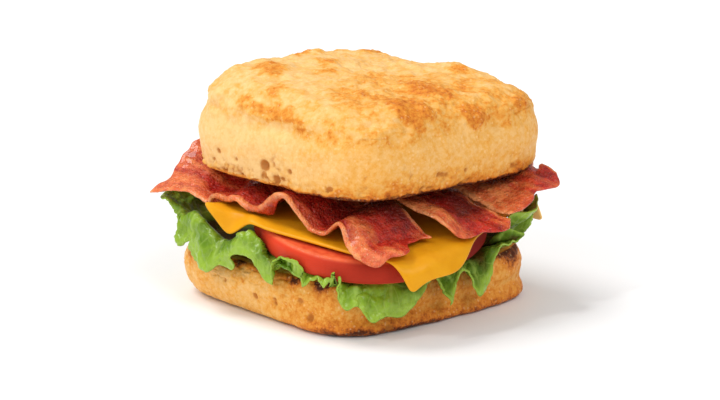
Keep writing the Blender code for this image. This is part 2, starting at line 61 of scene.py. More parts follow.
# %% Curves and noise
def through(where, values, at):
    """A smooth curve: cubic pieces through values at rising positions, sloped by their neighbours."""
    where, values = np.asarray(where, float), np.asarray(values, float)
    slopes = np.gradient(values, where, axis=0)
    index = np.clip(np.searchsorted(where, at) - 1, 0, len(where) - 2)
    span = where[index + 1] - where[index]
    s = np.clip((at - where[index]) / span, 0.0, 1.0)
    if values.ndim > 1:
        s, span = s[..., None], span[..., None]
    start = (1 + 2 * s) * (1 - s) ** 2 * values[index] + s * (1 - s) ** 2 * span * slopes[index]
    finish = s**2 * (3 - 2 * s) * values[index + 1] - s**2 * (1 - s) * span * slopes[index + 1]
    return start + finish


def profile(table, count):
    """The columns of a table of points as smooth curves, each in so many rows."""
    place = np.linspace(0, len(table) - 1, count)
    return through(np.arange(len(table)), table, place).T[..., None]


def step(low, high, value):
    """A smooth step from 0 at low to 1 at high: 3t squared minus 2t cubed."""
    t = np.clip((value - low) / (high - low), 0.0, 1.0)
    return t * t * (3 - 2 * t)


def bell(value, at, width):
    """A bell round a position: e to the minus square of the distance over the width."""
    return np.exp(-(((value - at) / width) ** 2))


def polar(centre, radius, bearing):
    """The place at a radius and a bearing from a centre."""
    return centre[0] + radius * np.cos(bearing), centre[1] + radius * np.sin(bearing)


def laid(start, heading, along, across):
    """The place at a way along a heading from a start, and a way across to its left."""
    x = start[0] + along * np.cos(heading) - across * np.sin(heading)
    y = start[1] + along * np.sin(heading) + across * np.cos(heading)
    return x, y


def lattice_value(cell, seed):
    """A value from -1 to 1 for each lattice cell: its whole numbers, mixed and cut to 16 bits."""
    mixed = cell[..., 0] * 73856093 ^ cell[..., 1] * 19349663 ^ cell[..., 2] * 83492791 ^ seed * 40503
    mixed = (mixed ^ (mixed >> 13)) * 1274126177
    return ((mixed ^ (mixed >> 16)) & 65535) / 32767.5 - 1


def noise(points, size, seed):
    """Smooth noise from -1 to 1: lattice values at a point's eight corners, blended smoothly."""
    place = np.asarray(points) / size
    cell = np.floor(place).astype(np.int64)
    part = place - cell
    part = part * part * (3 - 2 * part)
    total = np.zeros(place.shape[:-1])
    for corner in np.ndindex(2, 2, 2):
        weight = np.prod(np.where(corner, part, 1 - part), axis=-1)
        total += weight * lattice_value(cell + np.array(corner), seed)
    return total


TURNED = np.linalg.qr(np.array(((0.8, 0.5, 0.3), (-0.4, 0.9, 0.2), (0.1, -0.3, 0.9))))[0]


def layered(points, size, seed, layers=4):
    """Noise in layers: each has half the last one's size and strength, turned against it."""
    total, strength = 0.0, 1.0
    for layer in range(layers):
        total = total + strength * noise(points, size, seed + layer)
        points, size, strength = points @ TURNED, size / 2, strength / 2
    return total / 1.5


def wrinkled(points, size, seed):
    """Sharp wrinkles: one minus the size of the noise, squared, so its zero line is a crest."""
    return (1 - np.abs(layered(points, size, seed, 3))) ** 2


def around(points, places):
    """Bumps added up: each place has x, y, z, a radius and a strength, and falls off as a bell."""
    total = np.zeros(points.shape[:-1])
    for x, y, z, radius, strength in places:
        gone = ((points - np.array((x, y, z))) ** 2).sum(axis=-1)
        total += strength * np.exp(-gone / radius**2)
    return total


print("noise check:", float(noise(np.array((3.0, 4.0, 5.5)), 2.0, 1)).__round__(3))

# %% [markdown]
# ## Meshes from grids
#
# A roll or a tomato slice is a stack of rings, closed by a point at each end. A leaf,
# the cheese and the bacon are sheets: one grid of points, moved out along its normals
# to both sides, where the thickness falls to nothing at the border. That closes the
# sheet with a round rim, and needs no modifier.

# %% Meshes from grids
def grid_normals(points, closed):
    """Unit normals: steps round crossed with steps up. A closed grid joins its last column on."""
    if closed:
        sideways = np.roll(points, -1, axis=1) - np.roll(points, 1, axis=1)
    else:
        sideways = np.gradient(points, axis=1)
    normals = np.cross(sideways, np.gradient(points, axis=0))
    return normals / np.maximum(np.linalg.norm(normals, axis=-1, keepdims=True), 1e-9)


def quads(index):
    """The four corners of each square of a grid of point numbers."""
    corners = (index[:-1, :-1], index[:-1, 1:], index[1:, 1:], index[1:, :-1])
    return np.stack(corners, axis=-1).reshape(-1, 4)


def make_piece(name, points, faces, values, material, node):
    """A smooth object in metres that stands for a node. Its values become mesh attributes."""
    mesh = bpy.data.meshes.new(name)
    mesh.from_pydata(((points + SANDWICH_SHIFT) * MM).tolist(), [], faces)
    for title, value in values.items():
        kind = "FLOAT" if value.ndim == 1 else "FLOAT_VECTOR"
        key = "value" if value.ndim == 1 else "vector"
        data = mesh.attributes.new(title, kind, "POINT").data
        data.foreach_set(key, value.astype(np.float32).ravel())
    mesh.materials.append(material)
    mesh.shade_smooth()
    piece = bpy.data.objects.new(name, mesh)
    bpy.context.scene.collection.objects.link(piece)
    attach(piece, "root")
    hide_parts(node)
    triangles = sum(len(face) - 2 for face in faces)
    print(f"{name}: {len(points)} points, {triangles} triangles")


def ringed_piece(name, rings, values, material, node):
    """A closed piece through rings, lowest first, with a middle point at each end."""
    count, columns = rings.shape[:2]
    index = np.arange(count * columns).reshape(count, columns)
    index = np.hstack((index, index[:, :1]))
    low, high = count * columns, count * columns + 1
    faces = quads(index).tolist()
    ends = ((low, index[0, 1:], index[0, :-1]), (high, index[-1, :-1], index[-1, 1:]))
    for tip, first, second in ends:
        faces += [(tip, a, b) for a, b in zip(first.tolist(), second.tolist())]
    points = np.vstack((rings.reshape(-1, 3), rings[0].mean(axis=0), rings[-1].mean(axis=0)))
    flat = {
        title: np.concatenate((value.ravel(), (value[0].mean(), value[-1].mean())))
        for title, value in values.items()
    }
    make_piece(name, points, faces, flat, material, node)


def crowded(length, count, rim):
    """Positions along a length that crowd at both ends, where a rim is rounded."""
    close = rim * np.array((0.0, 0.08, 0.3, 0.62))
    return np.concatenate((close, np.linspace(rim, length - rim, count), length - close[::-1]))


def rounded_rim(inside, rim):
    """Share of the thickness at a distance inside the border: a quarter circle over the rim."""
    return np.sqrt(np.clip(1 - (1 - np.clip(inside / rim, 0, 1)) ** 2, 0, 1))


def sheet_piece(name, middle, thickness, values, material, node):
    """A closed piece on both sides of a grid, which meet in one shared line at the border."""
    rows, columns = middle.shape[:2]
    out = grid_normals(middle, False) * thickness[..., None] / 2
    front = np.arange(rows * columns).reshape(rows, columns)
    back = front.copy()
    back[1:-1, 1:-1] = rows * columns + np.arange((rows - 2) * (columns - 2)).reshape(rows - 2, -1)
    points = np.vstack(((middle + out).reshape(-1, 3), (middle - out)[1:-1, 1:-1].reshape(-1, 3)))
    faces = np.vstack((quads(front), quads(back)[:, ::-1])).tolist()
    flat = {}
    for title, value in values.items():
        both = (value, value[1:-1, 1:-1])
        flat[title] = np.concatenate([side.reshape(-1, *value.shape[2:]) for side in both])
    make_piece(name, points, faces, flat, material, node)


# %% [markdown]
# ## Building materials
#
# Every finish here is made of nodes. Two effects are shared by several foods, so they
# are node groups: mottling, which is one colour showing through another in soft clouds,
# and specks, which are small spots strewn at random. The groups give out only colours
# and masks, and the shader itself stays in each material.

# %% Helpers for materials
def add_node(tree, kind, inputs=None, **settings):
    """A node with its settings, whose inputs are given as values or as the outputs that feed them."""
    made = tree.nodes.new(kind)
    for name, value in settings.items():
        setattr(made, name, value)
    for name, value in (inputs or {}).items():
        if isinstance(value, bpy.types.NodeSocket):
            tree.links.new(value, made.inputs[name])
        else:
            made.inputs[name].default_value = value
    return made


def blend(tree, mask, low, high):
    """The colour output of a mix of two colours by a mask."""
    low, high = [(*colour, 1.0) if isinstance(colour, tuple) else colour for colour in (low, high)]
    return add_node(tree, "ShaderNodeMix", {0: mask, 6: low, 7: high}, data_type="RGBA").outputs[2]


def spread(tree, value, low, high, to_low=0.0, to_high=1.0):
    """A value stretched so that low becomes to_low and high becomes to_high, and held there."""
    inputs = {"Value": value, "From Min": low, "From Max": high, "To Min": to_low, "To Max": to_high}
    return add_node(tree, "ShaderNodeMapRange", inputs, interpolation_type="SMOOTHSTEP").outputs[0]


def figure(tree, operation, first, second):
    """The result of a sum on two values."""
    return add_node(tree, "ShaderNodeMath", {0: first, 1: second}, operation=operation).outputs[0]


def attribute(tree, name, output="Fac"):
    """The value of a named attribute of the mesh."""
    return add_node(tree, "ShaderNodeAttribute", attribute_name=name).outputs[output]


def ramp(tree, value, stops):
    """A colour that changes through stops of position and colour."""
    made = add_node(tree, "ShaderNodeValToRGB", {"Fac": value})
    while len(made.color_ramp.elements) < len(stops):
        made.color_ramp.elements.new(0.5)
    for element, (position, colour) in zip(made.color_ramp.elements, stops):
        element.position = position
        element.color = (*colour, 1.0)
    return made.outputs[0]


def new_group(name, **values):
    """An empty node group that takes a vector and named values and gives a mask."""
    tree = bpy.data.node_groups.new(name, "ShaderNodeTree")
    tree.interface.new_socket(name="Vector", in_out="INPUT", socket_type="NodeSocketVector")
    for title, value in values.items():
        socket = tree.interface.new_socket(name=title, in_out="INPUT", socket_type="NodeSocketFloat")
        socket.default_value = value
    tree.interface.new_socket(name="Mask", in_out="OUTPUT", socket_type="NodeSocketFloat")
    return tree, tree.nodes.new("NodeGroupInput").outputs, tree.nodes.new("NodeGroupOutput").inputs


def masked(tree, group, place, **values):
    """The mask that a group gives at a place, with its own values."""
    inputs = {"Vector": place, **values}
    return add_node(tree, "ShaderNodeGroup", inputs, node_tree=group).outputs["Mask"]


def start_material(name, **constants):
    """A material, its tree, its shader and the object's own coordinates in millimetres."""
    material = bpy.data.materials.new(name)
    material.use_nodes = True
    tree = material.node_tree
    shader = tree.nodes["Principled BSDF"]
    for title, value in constants.items():
        shader.inputs[title.replace("_", " ")].default_value = value
    coordinates = add_node(tree, "ShaderNodeTexCoord").outputs["Object"]
    scaled = add_node(tree, "ShaderNodeVectorMath", {0: coordinates}, operation="SCALE")
    scaled.inputs["Scale"].default_value = 1 / MM
    return material, tree, shader, scaled.outputs[0]


def feed(tree, shader, colour, roughness, height, strength, distance):
    """Joins colour, roughness and a bump of a height in millimetres to the shader."""
    tree.links.new(colour, shader.inputs["Base Color"])
    tree.links.new(roughness, shader.inputs["Roughness"])
    inputs = {"Height": height, "Strength": strength, "Distance": distance * MM}
    bump = add_node(tree, "ShaderNodeBump", inputs)
    tree.links.new(bump.outputs[0], shader.inputs["Normal"])


# %% The two shared effects
def mottle_group():
    """Mottling: layered noise as a mask, with its contrast set by a spread round one half."""
    tree, given, wanted = new_group("mottle", Size=4.0, Softness=0.3)
    frequency = figure(tree, "DIVIDE", 1.0, given["Size"])
    inputs = {"Vector": given["Vector"], "Scale": frequency, "Detail": 4.0}
    cloud = add_node(tree, "ShaderNodeTexNoise", inputs)
    low = figure(tree, "SUBTRACT", 0.5, given["Softness"])
    high = figure(tree, "ADD", 0.5, given["Softness"])
    tree.links.new(spread(tree, cloud.outputs[0], low, high), wanted["Mask"])
    return tree


def speck_group():
    """Specks: a round spot of random size in each scattered cell. Fewer shows only some."""
    tree, given, wanted = new_group("specks", Size=2.0, Fewer=0.5)
    frequency = figure(tree, "DIVIDE", 1.0, given["Size"])
    cells = add_node(tree, "ShaderNodeTexVoronoi", {"Vector": given["Vector"], "Scale": frequency})
    chance = add_node(tree, "ShaderNodeSeparateColor", {"Color": cells.outputs["Color"]})
    shown = spread(tree, chance.outputs[0], given["Fewer"], figure(tree, "ADD", given["Fewer"], 0.25))
    width = figure(tree, "MULTIPLY", chance.outputs[1], 0.2)
    past = figure(tree, "SUBTRACT", cells.outputs["Distance"], width)
    near = spread(tree, past, 0.05, 0.28, 1.0, 0.0)
    tree.links.new(figure(tree, "MULTIPLY", near, shown), wanted["Mask"])
    return tree


MOTTLE = mottle_group()
SPECKS = speck_group()
print("shared effects:", MOTTLE.name, SPECKS.name)

# %% [markdown]
# ## Camera, table and light
#
# The sandwich stands on a plain white table and is seen from a little above, with a
# long lens. The main light is a broad sun from the upper left, a little behind, which
# puts the shadow at the right front. A small, weak lamp adds sparkle, one lamp lightens
# each side, and a white sky fills the rest. The sky is dimmer in reflections, as dark
# studio walls would be, so that wet and greasy food keeps its deep colours under the
# lamps' highlights.

# %% Camera, table and light
CAMERA_PLACE = Vector((2.5, -864.3, 260.8))
CAMERA_AIM = Vector((2.5, -22.0, 43.0))
LENS = 117.0
SENSOR = 36.0
FRAMING_SHIFT = -3 / 720
TABLE_SIDE = 6.0
TABLE_WHITE = (0.93, 0.93, 0.93, 1.0)
SKY_STRENGTH = 0.56
SKY_IN_GLOSS = 0.25
# Name, the way towards the lamp, strength and how broad it is, in radians
LAMPS = (
    ("key", Vector((-0.43, 0.19, 0.88)), 1.50, 0.5),
    ("sparkle", Vector((-0.60, -0.35, 0.72)), 0.50, 0.1),
    ("left fill", Vector((-0.62, -0.68, 0.38)), 0.55, 0.9),
    ("right fill", Vector((0.45, -0.55, 0.75)), 0.85, 0.5),
)

lens = bpy.data.cameras.new("camera")
lens.lens, lens.sensor_width, lens.shift_y = LENS, SENSOR, FRAMING_SHIFT
camera = bpy.data.objects.new("camera", lens)
camera.location = (CAMERA_PLACE + Vector(SANDWICH_SHIFT)) * MM
camera.rotation_euler = (CAMERA_AIM - CAMERA_PLACE).to_track_quat("-Z", "Y").to_euler()
bpy.context.scene.collection.objects.link(camera)
bpy.context.scene.camera = camera
bpy.context.scene.view_settings.view_transform = "Standard"

half = TABLE_SIDE / 2
table = bpy.data.meshes.new("table")
corners = [(-half, -half, 0), (half, -half, 0), (half, half, 0), (-half, half, 0)]
table.from_pydata(corners, [], [(0, 1, 2, 3)])
white, _, white_shader, _ = start_material("white_table", Roughness=0.6)
white_shader.inputs["Base Color"].default_value = TABLE_WHITE
table.materials.append(white)
table_top = bpy.data.objects.new("table", table)
bpy.context.scene.collection.objects.link(table_top)

sky = bpy.data.worlds.new("sky")
sky.use_nodes = True
sky.node_tree.nodes["Background"].inputs["Color"].default_value = (1.0, 1.0, 1.0, 1.0)
in_gloss = add_node(sky.node_tree, "ShaderNodeLightPath").outputs["Is Glossy Ray"]
brightness = spread(sky.node_tree, in_gloss, 0.0, 1.0, SKY_STRENGTH, SKY_IN_GLOSS)
sky.node_tree.links.new(brightness, sky.node_tree.nodes["Background"].inputs["Strength"])
bpy.context.scene.world = sky
for name, towards, strength, angle in LAMPS:
    lamp = bpy.data.lights.new(name, "SUN")
    lamp.energy, lamp.angle = strength, angle
    light = bpy.data.objects.new(name, lamp)
    light.rotation_euler = towards.to_track_quat("Z", "Y").to_euler()
    bpy.context.scene.collection.objects.link(light)
print("camera at", [round(value, 4) for value in camera.location])

# %% [markdown]
# ## The crust's finish
#
# Baked crust runs from pale cream through gold to brown, where a blister came closest
# to the heat. How brown each point is can't be told by a texture alone, because it
# follows the roll's own bumps. So the mesh carries it as an attribute called toast, and
# a second one called pit says where a pore or a crack opens. The nodes turn toast into
# colour and add what is finer than the mesh: grain, specks of flour and fine bumps.

# %% The crust's finish
CRUST_STOPS = (
    (0.00, (0.87, 0.55, 0.22)),
    (0.25, (0.83, 0.46, 0.14)),
    (0.42, (0.80, 0.39, 0.075)),
    (0.58, (0.74, 0.27, 0.030)),
    (0.74, (0.60, 0.165, 0.015)),
    (0.88, (0.30, 0.07, 0.010)),
    (1.00, (0.09, 0.02, 0.006)),
)


def crust_material():
    """Toast, made uneven by grain, runs through the crust's colours, with flour, and painted shade in
    the pores and cracks.
    """
    material, tree, shader, place = start_material("baked_crust", Specular_IOR_Level=0.15)
    toast = attribute(tree, "toast")
    pit = attribute(tree, "pit")
    clouds = masked(tree, MOTTLE, place, Size=1.9, Softness=0.2)
    grain = masked(tree, MOTTLE, place, Size=0.7, Softness=0.3)
    uneven = figure(tree, "MULTIPLY", figure(tree, "SUBTRACT", grain, 0.5), 0.16)
    patchy = figure(tree, "MULTIPLY", figure(tree, "SUBTRACT", clouds, 0.5), 0.22)
    browned = figure(tree, "ADD", toast, figure(tree, "ADD", uneven, patchy))
    colour = ramp(tree, browned, CRUST_STOPS)
    flour = masked(tree, SPECKS, place, Size=1.4, Fewer=0.5)
    colour = blend(tree, figure(tree, "MULTIPLY", flour, 0.3), colour, (0.95, 0.66, 0.34))
    # Painted shade: pores and cracks, where pit is high, are coloured dark brown
    colour = blend(tree, spread(tree, pit, 0.15, 0.8, 0.0, 0.9), colour, (0.50, 0.17, 0.025))
    rough = spread(tree, clouds, 0.0, 1.0, 0.36, 0.6)
    inputs = {"Vector": place, "Scale": 0.9, "Detail": 5.0, "Roughness": 0.65}
    fine = add_node(tree, "ShaderNodeTexNoise", inputs)
    feed(tree, shader, colour, rough, fine.outputs[0], 0.42, 0.7)
    return material


CRUST = crust_material()
print("finish:", CRUST.name)

# %% [markdown]
# ## The roll's outline
#
# Seen from above, the roll is a square with round corners, turned so that one corner
# faces the camera. Both halves share that outline. A low relief of crossing waves keeps
# the sides from being perfectly even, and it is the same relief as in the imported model.

# %% The roll's outline
ROLL_TURN = np.radians(42.5)
ROLL_SQUARENESS = 4.6
ROLL_STRETCH = 0.03
ROLL_COLUMNS = 520
CRUST_ROUGHNESS = 0.7
CRUST_LUMP_SIZE = 13.0
CRUST_SEED = 11
CRUST_WAVES = 6
BOTTOM_HALF_SIDE = 51.5
BEARING = np.linspace(0, 2 * np.pi, ROLL_COLUMNS, endpoint=False)


def roll_radius(bearing, half_side):
    """Distance to the outline: a superellipse, one over the root of summed powers of cosine and
    sine, turned and stretched."""
    across = np.abs(np.cos(bearing - ROLL_TURN)) ** ROLL_SQUARENESS
    along = np.abs(np.sin(bearing - ROLL_TURN)) ** ROLL_SQUARENESS
    stretch = 1 + ROLL_STRETCH * np.cos(2 * bearing)
    return half_side * stretch * (across + along) ** (-1 / ROLL_SQUARENESS)


def crags(points):
    """Low relief from -1 to 1: the mean of cosine waves that cross in seeded directions."""
    chance = np.random.RandomState(CRUST_SEED)
    total = np.zeros(points.shape[:-1])
    for _ in range(CRUST_WAVES):
        direction = chance.normal(size=3)
        direction *= 2 * np.pi / (CRUST_LUMP_SIZE * np.linalg.norm(direction))
        total += np.cos(points @ direction + chance.uniform(0, 2 * np.pi))
    return total / CRUST_WAVES


def roll_rings(centre, radii, heights):
    """Points of rings: each radius, made uneven by the relief, at its bearing round the centre."""
    rings = np.empty((*radii.shape, 3))
    rings[..., 2] = heights
    rings[..., 0], rings[..., 1] = polar(centre, radii, BEARING)
    uneven = radii * (1 + CRUST_ROUGHNESS * crags(rings) / np.maximum(radii, 1.0))
    rings[..., 0], rings[..., 1] = polar(centre, uneven, BEARING)
    return rings


def facing(bearing, degrees, low, high):
    """How much a bearing faces a side: a smooth step over the cosine of the angle between."""
    return step(low, high, np.cos(bearing - np.radians(degrees)))


def moved_out(rings, relief):
    """Rings moved along their normals by a relief in millimetres."""
    return rings + grid_normals(rings, True) * relief[..., None]


ROLL_REACH = float(roll_radius(BEARING, BOTTOM_HALF_SIDE).max())
print("roll reaches", round(ROLL_REACH, 1), "mm from its centre")

# %% [markdown]
# ## The bottom half of the roll
#
# It stands flat, bulges on its left and has a groove with a lip along its right foot,
# where the dough sat on the baking tray. A profile of heights and insets gives one
# curve for the round side and one for the lipped side, and each bearing mixes the two.
# The cut rim under the leaves is toasted dark, and the right side is browner.

# %% The bottom half of the roll
BOTTOM_CENTRE = np.array((0.0, 0.0))
BOTTOM_HEIGHT = 20.4
LIPPED_SIDE = np.radians(-45.0)
# Height, then inset from the outline on the round side and on the lipped side
BOTTOM_PROFILE = np.array((
    (0.0, 13.0, 3.4), (0.6, 8.6, 0.4), (2.2, 4.4, -1.0), (4.6, 1.4, -0.2), (7.5, -0.3, 1.3),
    (11.0, -0.8, 0.6), (14.5, -0.4, 0.4), (17.6, 0.8, 1.2), (19.6, 2.8, 2.6), (20.4, 5.0, 4.6),
))
BOTTOM_RINGS = 120
FACE_RINGS = 14
# Reach of a cut face's rings, as shares of its border
FACE_REACH = np.linspace(0.04, 0.99, FACE_RINGS)[:, None]
# Bearings of the side that is browner on each half, and of the corner in front
BROWN_SIDES = (-40.0, -50.0)
FRONT_CORNER = -90.0
# Places that are browner: x, y, z, radius and strength
BOTTOM_BROWN = (
    (-42.2, -27.1, 19.6, 3.5, 0.45), (-33.0, -38.0, 19.8, 3.5, 0.5),
    (-22.0, -50.0, 19.0, 3.0, 0.45), (-12.0, -56.0, 18.0, 3.0, 0.4),
    (-40.9, -32.4, 13.5, 1.2, 0.3), (59.6, -13.3, 18.5, 4.5, 0.5), (61.1, -7.4, 19.4, 2.2, 0.5),
    (1.0, -60.6, 2.4, 4.0, 0.2), (-8.0, -58.0, 2.0, 4.0, 0.2), (-63.0, -6.0, 17.0, 3.0, 0.3),
)
# Pores: x, y, z, radius and depth
BOTTOM_PITS = (
    (-36.3, -36.1, 8.8, 1.2, 1.3), (-28.9, -43.0, 9.6, 0.8, 1.0), (-28.7, -43.0, 7.8, 0.8, 1.0),
    (-19.2, -52.7, 12.0, 1.1, 1.1), (-15.6, -54.8, 6.2, 1.3, 1.4), (-47.9, -25.7, 11.9, 0.8, 0.7),
    (13.4, -55.4, 2.2, 1.6, 1.2), (37.7, -34.4, 11.0, 0.9, 0.7),
)


def bottom_half():
    """Rings with the profile's heights and insets, mixed by the angle from the lipped side."""
    lipped = 0.5 + 0.5 * np.cos(BEARING - LIPPED_SIDE)
    outline = roll_radius(BEARING, BOTTOM_HALF_SIDE)
    height, round_in, lip_in = profile(BOTTOM_PROFILE, BOTTOM_RINGS)
    side = outline - (1 - lipped) * round_in - lipped * lip_in
    radii = np.vstack((FACE_REACH * side[0], side, FACE_REACH[::-1] * side[-1]))
    face = np.zeros_like(FACE_REACH)
    heights = np.vstack((face, np.clip(height, 0, BOTTOM_HEIGHT), face + BOTTOM_HEIGHT))
    rings = roll_rings(BOTTOM_CENTRE, radii, heights + np.zeros_like(radii))
    level = rings[..., 2]
    on_side = step(0.0, 2.0, level) * step(BOTTOM_HEIGHT + 0.4, BOTTOM_HEIGHT - 1.4, level)
    pit = 1.2 * around(rings, BOTTOM_PITS)
    relief = on_side * (0.5 * layered(rings, 5.0, 21) + 0.20 * wrinkled(rings, 1.8, 25) - 0.15)
    right = facing(BEARING, BROWN_SIDES[0], -0.2, 0.9)
    front = facing(BEARING, FRONT_CORNER, 0.6, 1.0)
    # Browner to the right and at listed places, dark along the cut rim, and brown at the foot
    toast = 0.36 + 0.17 * right + 0.16 * right * step(9.0, 2.0, level) + 0.02 * front
    toast = toast + around(rings, BOTTOM_BROWN)
    toast = toast + 0.35 * step(17.0, 20.0, level + 1.5 * layered(rings, 6.0, 31))
    toast = toast + (0.16 - 0.08 * right) * layered(rings, 8.0, 35)
    toast = toast + (0.12 - 0.09 * right) * (wrinkled(rings, 4.0, 37) - 0.5)
    toast = toast + 0.12 * (front + right) * step(4.0, 1.0, level + layered(rings, 5.0, 39))
    cracks = (1 - right) * step(0.80, 0.97, wrinkled(rings, 5.0, 33)) * on_side
    cut = 1 - step(0.6, 1.5, np.abs(level - BOTTOM_HEIGHT) + on_side)
    toast = toast * (1 - 0.6 * cut)
    pit = pit + 0.3 * cracks
    rings = moved_out(rings, relief - pit)
    return rings, {"toast": np.clip(toast, 0, 1), "pit": np.clip(pit, 0, 1)}


rings, marks = bottom_half()
ringed_piece("roll_bottom", rings, marks, CRUST, "bun_bottom")

# %% [markdown]
# ## The top half of the roll
#
# Upright sides carry a round shoulder and a lumpy crown. The crown is a gentle slope
# with blisters, each a bell of its own width and height. Browned patches sit on the
# blisters, and there the skin has dried into fine wrinkles. The lower edge is torn and
# crumbly, and a few pores open in the sides.

# %% The top half's shape
TOP_HALF_SIDE = 51.2
TOP_CENTRE = np.array((5.5, 0.5))
TOP_UNDERSIDE = 50.0
SHOULDER_HEIGHT = 74.5
SHOULDER_SLOPE = 0.03
CROWN_HEIGHT = 85.6
CROWN_SLOPE = np.array((-0.065, 0.045))
SIDE_RINGS = 44
CROWN_RINGS = 104
# Share of the way from the underside to the shoulder, then inset from the outline
TOP_PROFILE = np.array((
    (0.0, 4.0), (0.03, 1.8), (0.12, 0.9), (0.28, 0.4), (0.5, 0.0), (0.75, 0.6), (1.0, 2.2),
))
# Share of the way from the shoulder to the crown, then share of the outline
CROWN_PROFILE = np.array((
    (0.0, 0.96), (0.28, 0.945), (0.54, 0.90), (0.75, 0.84), (0.88, 0.74), (0.95, 0.58),
    (0.99, 0.38), (1.0, 0.18), (1.0, 0.01),
))
# Blisters and hollows of the crown: x, y, radius and height
CROWN_BLISTERS = (
    (-36, 18, 7, 1.4), (-30, 2, 7, 1.2), (-12, 14, 10, 1.8), (-26, -24, 9, 1.6),
    (-40, -22, 8, 1.5), (-22, -38, 8, 1.3), (27, -18, 10, 1.8), (16, -38, 9, 1.5),
    (32, -36, 9, 1.6), (48, -22, 9, 1.7), (44, 20, 10, 2.6), (6, -14, 9, 1.2), (24, 47, 12, -6.5),
    (-18, 38, 9, 1.3), (54, -4, 7, 1.3),
)


def crown(x, y):
    """Height of the crown: a gentle slope plus bells."""
    height = CROWN_HEIGHT + CROWN_SLOPE[0] * x + CROWN_SLOPE[1] * y
    for at_x, at_y, radius, rise in CROWN_BLISTERS:
        height = height + rise * np.exp(-((x - at_x) ** 2 + (y - at_y) ** 2) / radius**2)
    return height


def top_half_rings():
    """Rings over the cut face, up the sides by the first profile, in over the crown by the second."""
    outline = roll_radius(BEARING, TOP_HALF_SIDE)
    shoulder = SHOULDER_HEIGHT + SHOULDER_SLOPE * outline * np.sin(BEARING)
    share, inset = profile(TOP_PROFILE, SIDE_RINGS)
    side = outline - inset
    side_height = TOP_UNDERSIDE + np.clip(share, 0, 1) * (shoulder - TOP_UNDERSIDE)
    share, reach = profile(CROWN_PROFILE, CROWN_RINGS + 1)[:, 1:]
    over = outline * reach
    over_height = shoulder + share * (crown(*polar(TOP_CENTRE, over, BEARING)) - shoulder)
    face = FACE_REACH * side[0]
    heights = np.vstack((np.full_like(face, TOP_UNDERSIDE), side_height, over_height))
    return roll_rings(TOP_CENTRE, np.vstack((face, side, over)), heights)


# %% [markdown]
# ## Toasting the top half
#
# The browned patches and the pores are listed, each by its point on the crust
# and a radius. Noise stirs the patches and breaks up their borders. The left side stays
# pale, the right side is orange, and the lower edge is torn, browned and dark beneath.

# %% The top half's browning and pores
TOP_BROWN = (
    (-33.7, 1.8, 87.8, 4.5, 0.45), (-29.4, -1.1, 87.7, 4.0, 0.4), (-29.6, -8.6, 86.5, 5.0, 0.3),
    (-27.0, -25.0, 84.8, 4.4, 0.5), (-38.5, -24.0, 78.0, 5.2, 0.55),
    (-32.0, -30.6, 77.5, 4.5, 0.35), (-23.9, -37.5, 78.0, 5.0, 0.5),
    (-35.6, -29.1, 70.9, 3.5, 0.25), (-17.2, -45.9, 73.6, 5.0, 0.28),
    (-7.1, -54.1, 72.6, 4.0, 0.28), (-9.9, 0.8, 86.5, 5.0, 0.3), (-17.6, -10.4, 86.1, 4.0, 0.2),
    (-10.8, 12.5, 88.4, 5.0, 0.3), (-3.7, -24.8, 84.6, 6.0, 0.15), (-1.8, -51.0, 79.5, 5.0, 0.2),
    (22.7, -20.7, 84.1, 5.0, 0.4), (27.5, -22.1, 83.6, 4.5, 0.4), (31.8, -25.8, 82.5, 4.5, 0.42),
    (17.3, -39.5, 82.5, 5.0, 0.42), (26.2, -42.0, 78.6, 5.0, 0.4), (19.0, -46.6, 78.5, 4.0, 0.35),
    (23.6, -47.6, 74.0, 4.0, 0.25), (43.4, -29.5, 77.4, 4.5, 0.4), (45.6, -30.2, 73.4, 4.0, 0.35),
    (52.5, -24.7, 71.0, 3.5, -0.2), (60.9, -12.9, 76.8, 4.0, 0.42), (40.3, 12.9, 84.1, 6.0, 0.3),
    (10.0, -1.8, 85.1, 5.0, 0.2), (6.1, -31.6, 83.8, 5.0, 0.3), (-20.0, 34.0, 87.0, 7.0, 0.4),
    (8.0, 40.0, 86.0, 6.0, 0.4), (48.0, 30.0, 84.0, 6.0, 0.4), (15.0, -55.8, 55.0, 7.0, 0.25),
    (68.7, -5.8, 64.8, 1.6, 0.4),
)
# Positions are scaled by this for the patches, which makes them wider than high
TOP_SPREAD = np.array((0.75, 0.75, 1.3))
TOP_PITS = (
    (-50.4, -15.3, 59.0, 1.0, 1.2), (-43.4, -22.9, 57.7, 0.8, 0.8),
    (-52.6, -11.3, 55.0, 0.8, 0.7), (-32.6, -33.3, 57.8, 1.7, 2.0),
    (-23.2, -42.7, 57.7, 1.0, 1.0), (-28.5, -36.5, 53.5, 1.3, 1.2), (31.0, -43.8, 56.9, 0.9, 0.9),
    (32.4, -42.6, 56.7, 0.9, 0.9), (33.8, -41.4, 56.4, 0.8, 0.7), (41.1, -36.0, 56.8, 0.8, 0.7),
    (59.8, -18.8, 54.1, 0.9, 0.8),
)


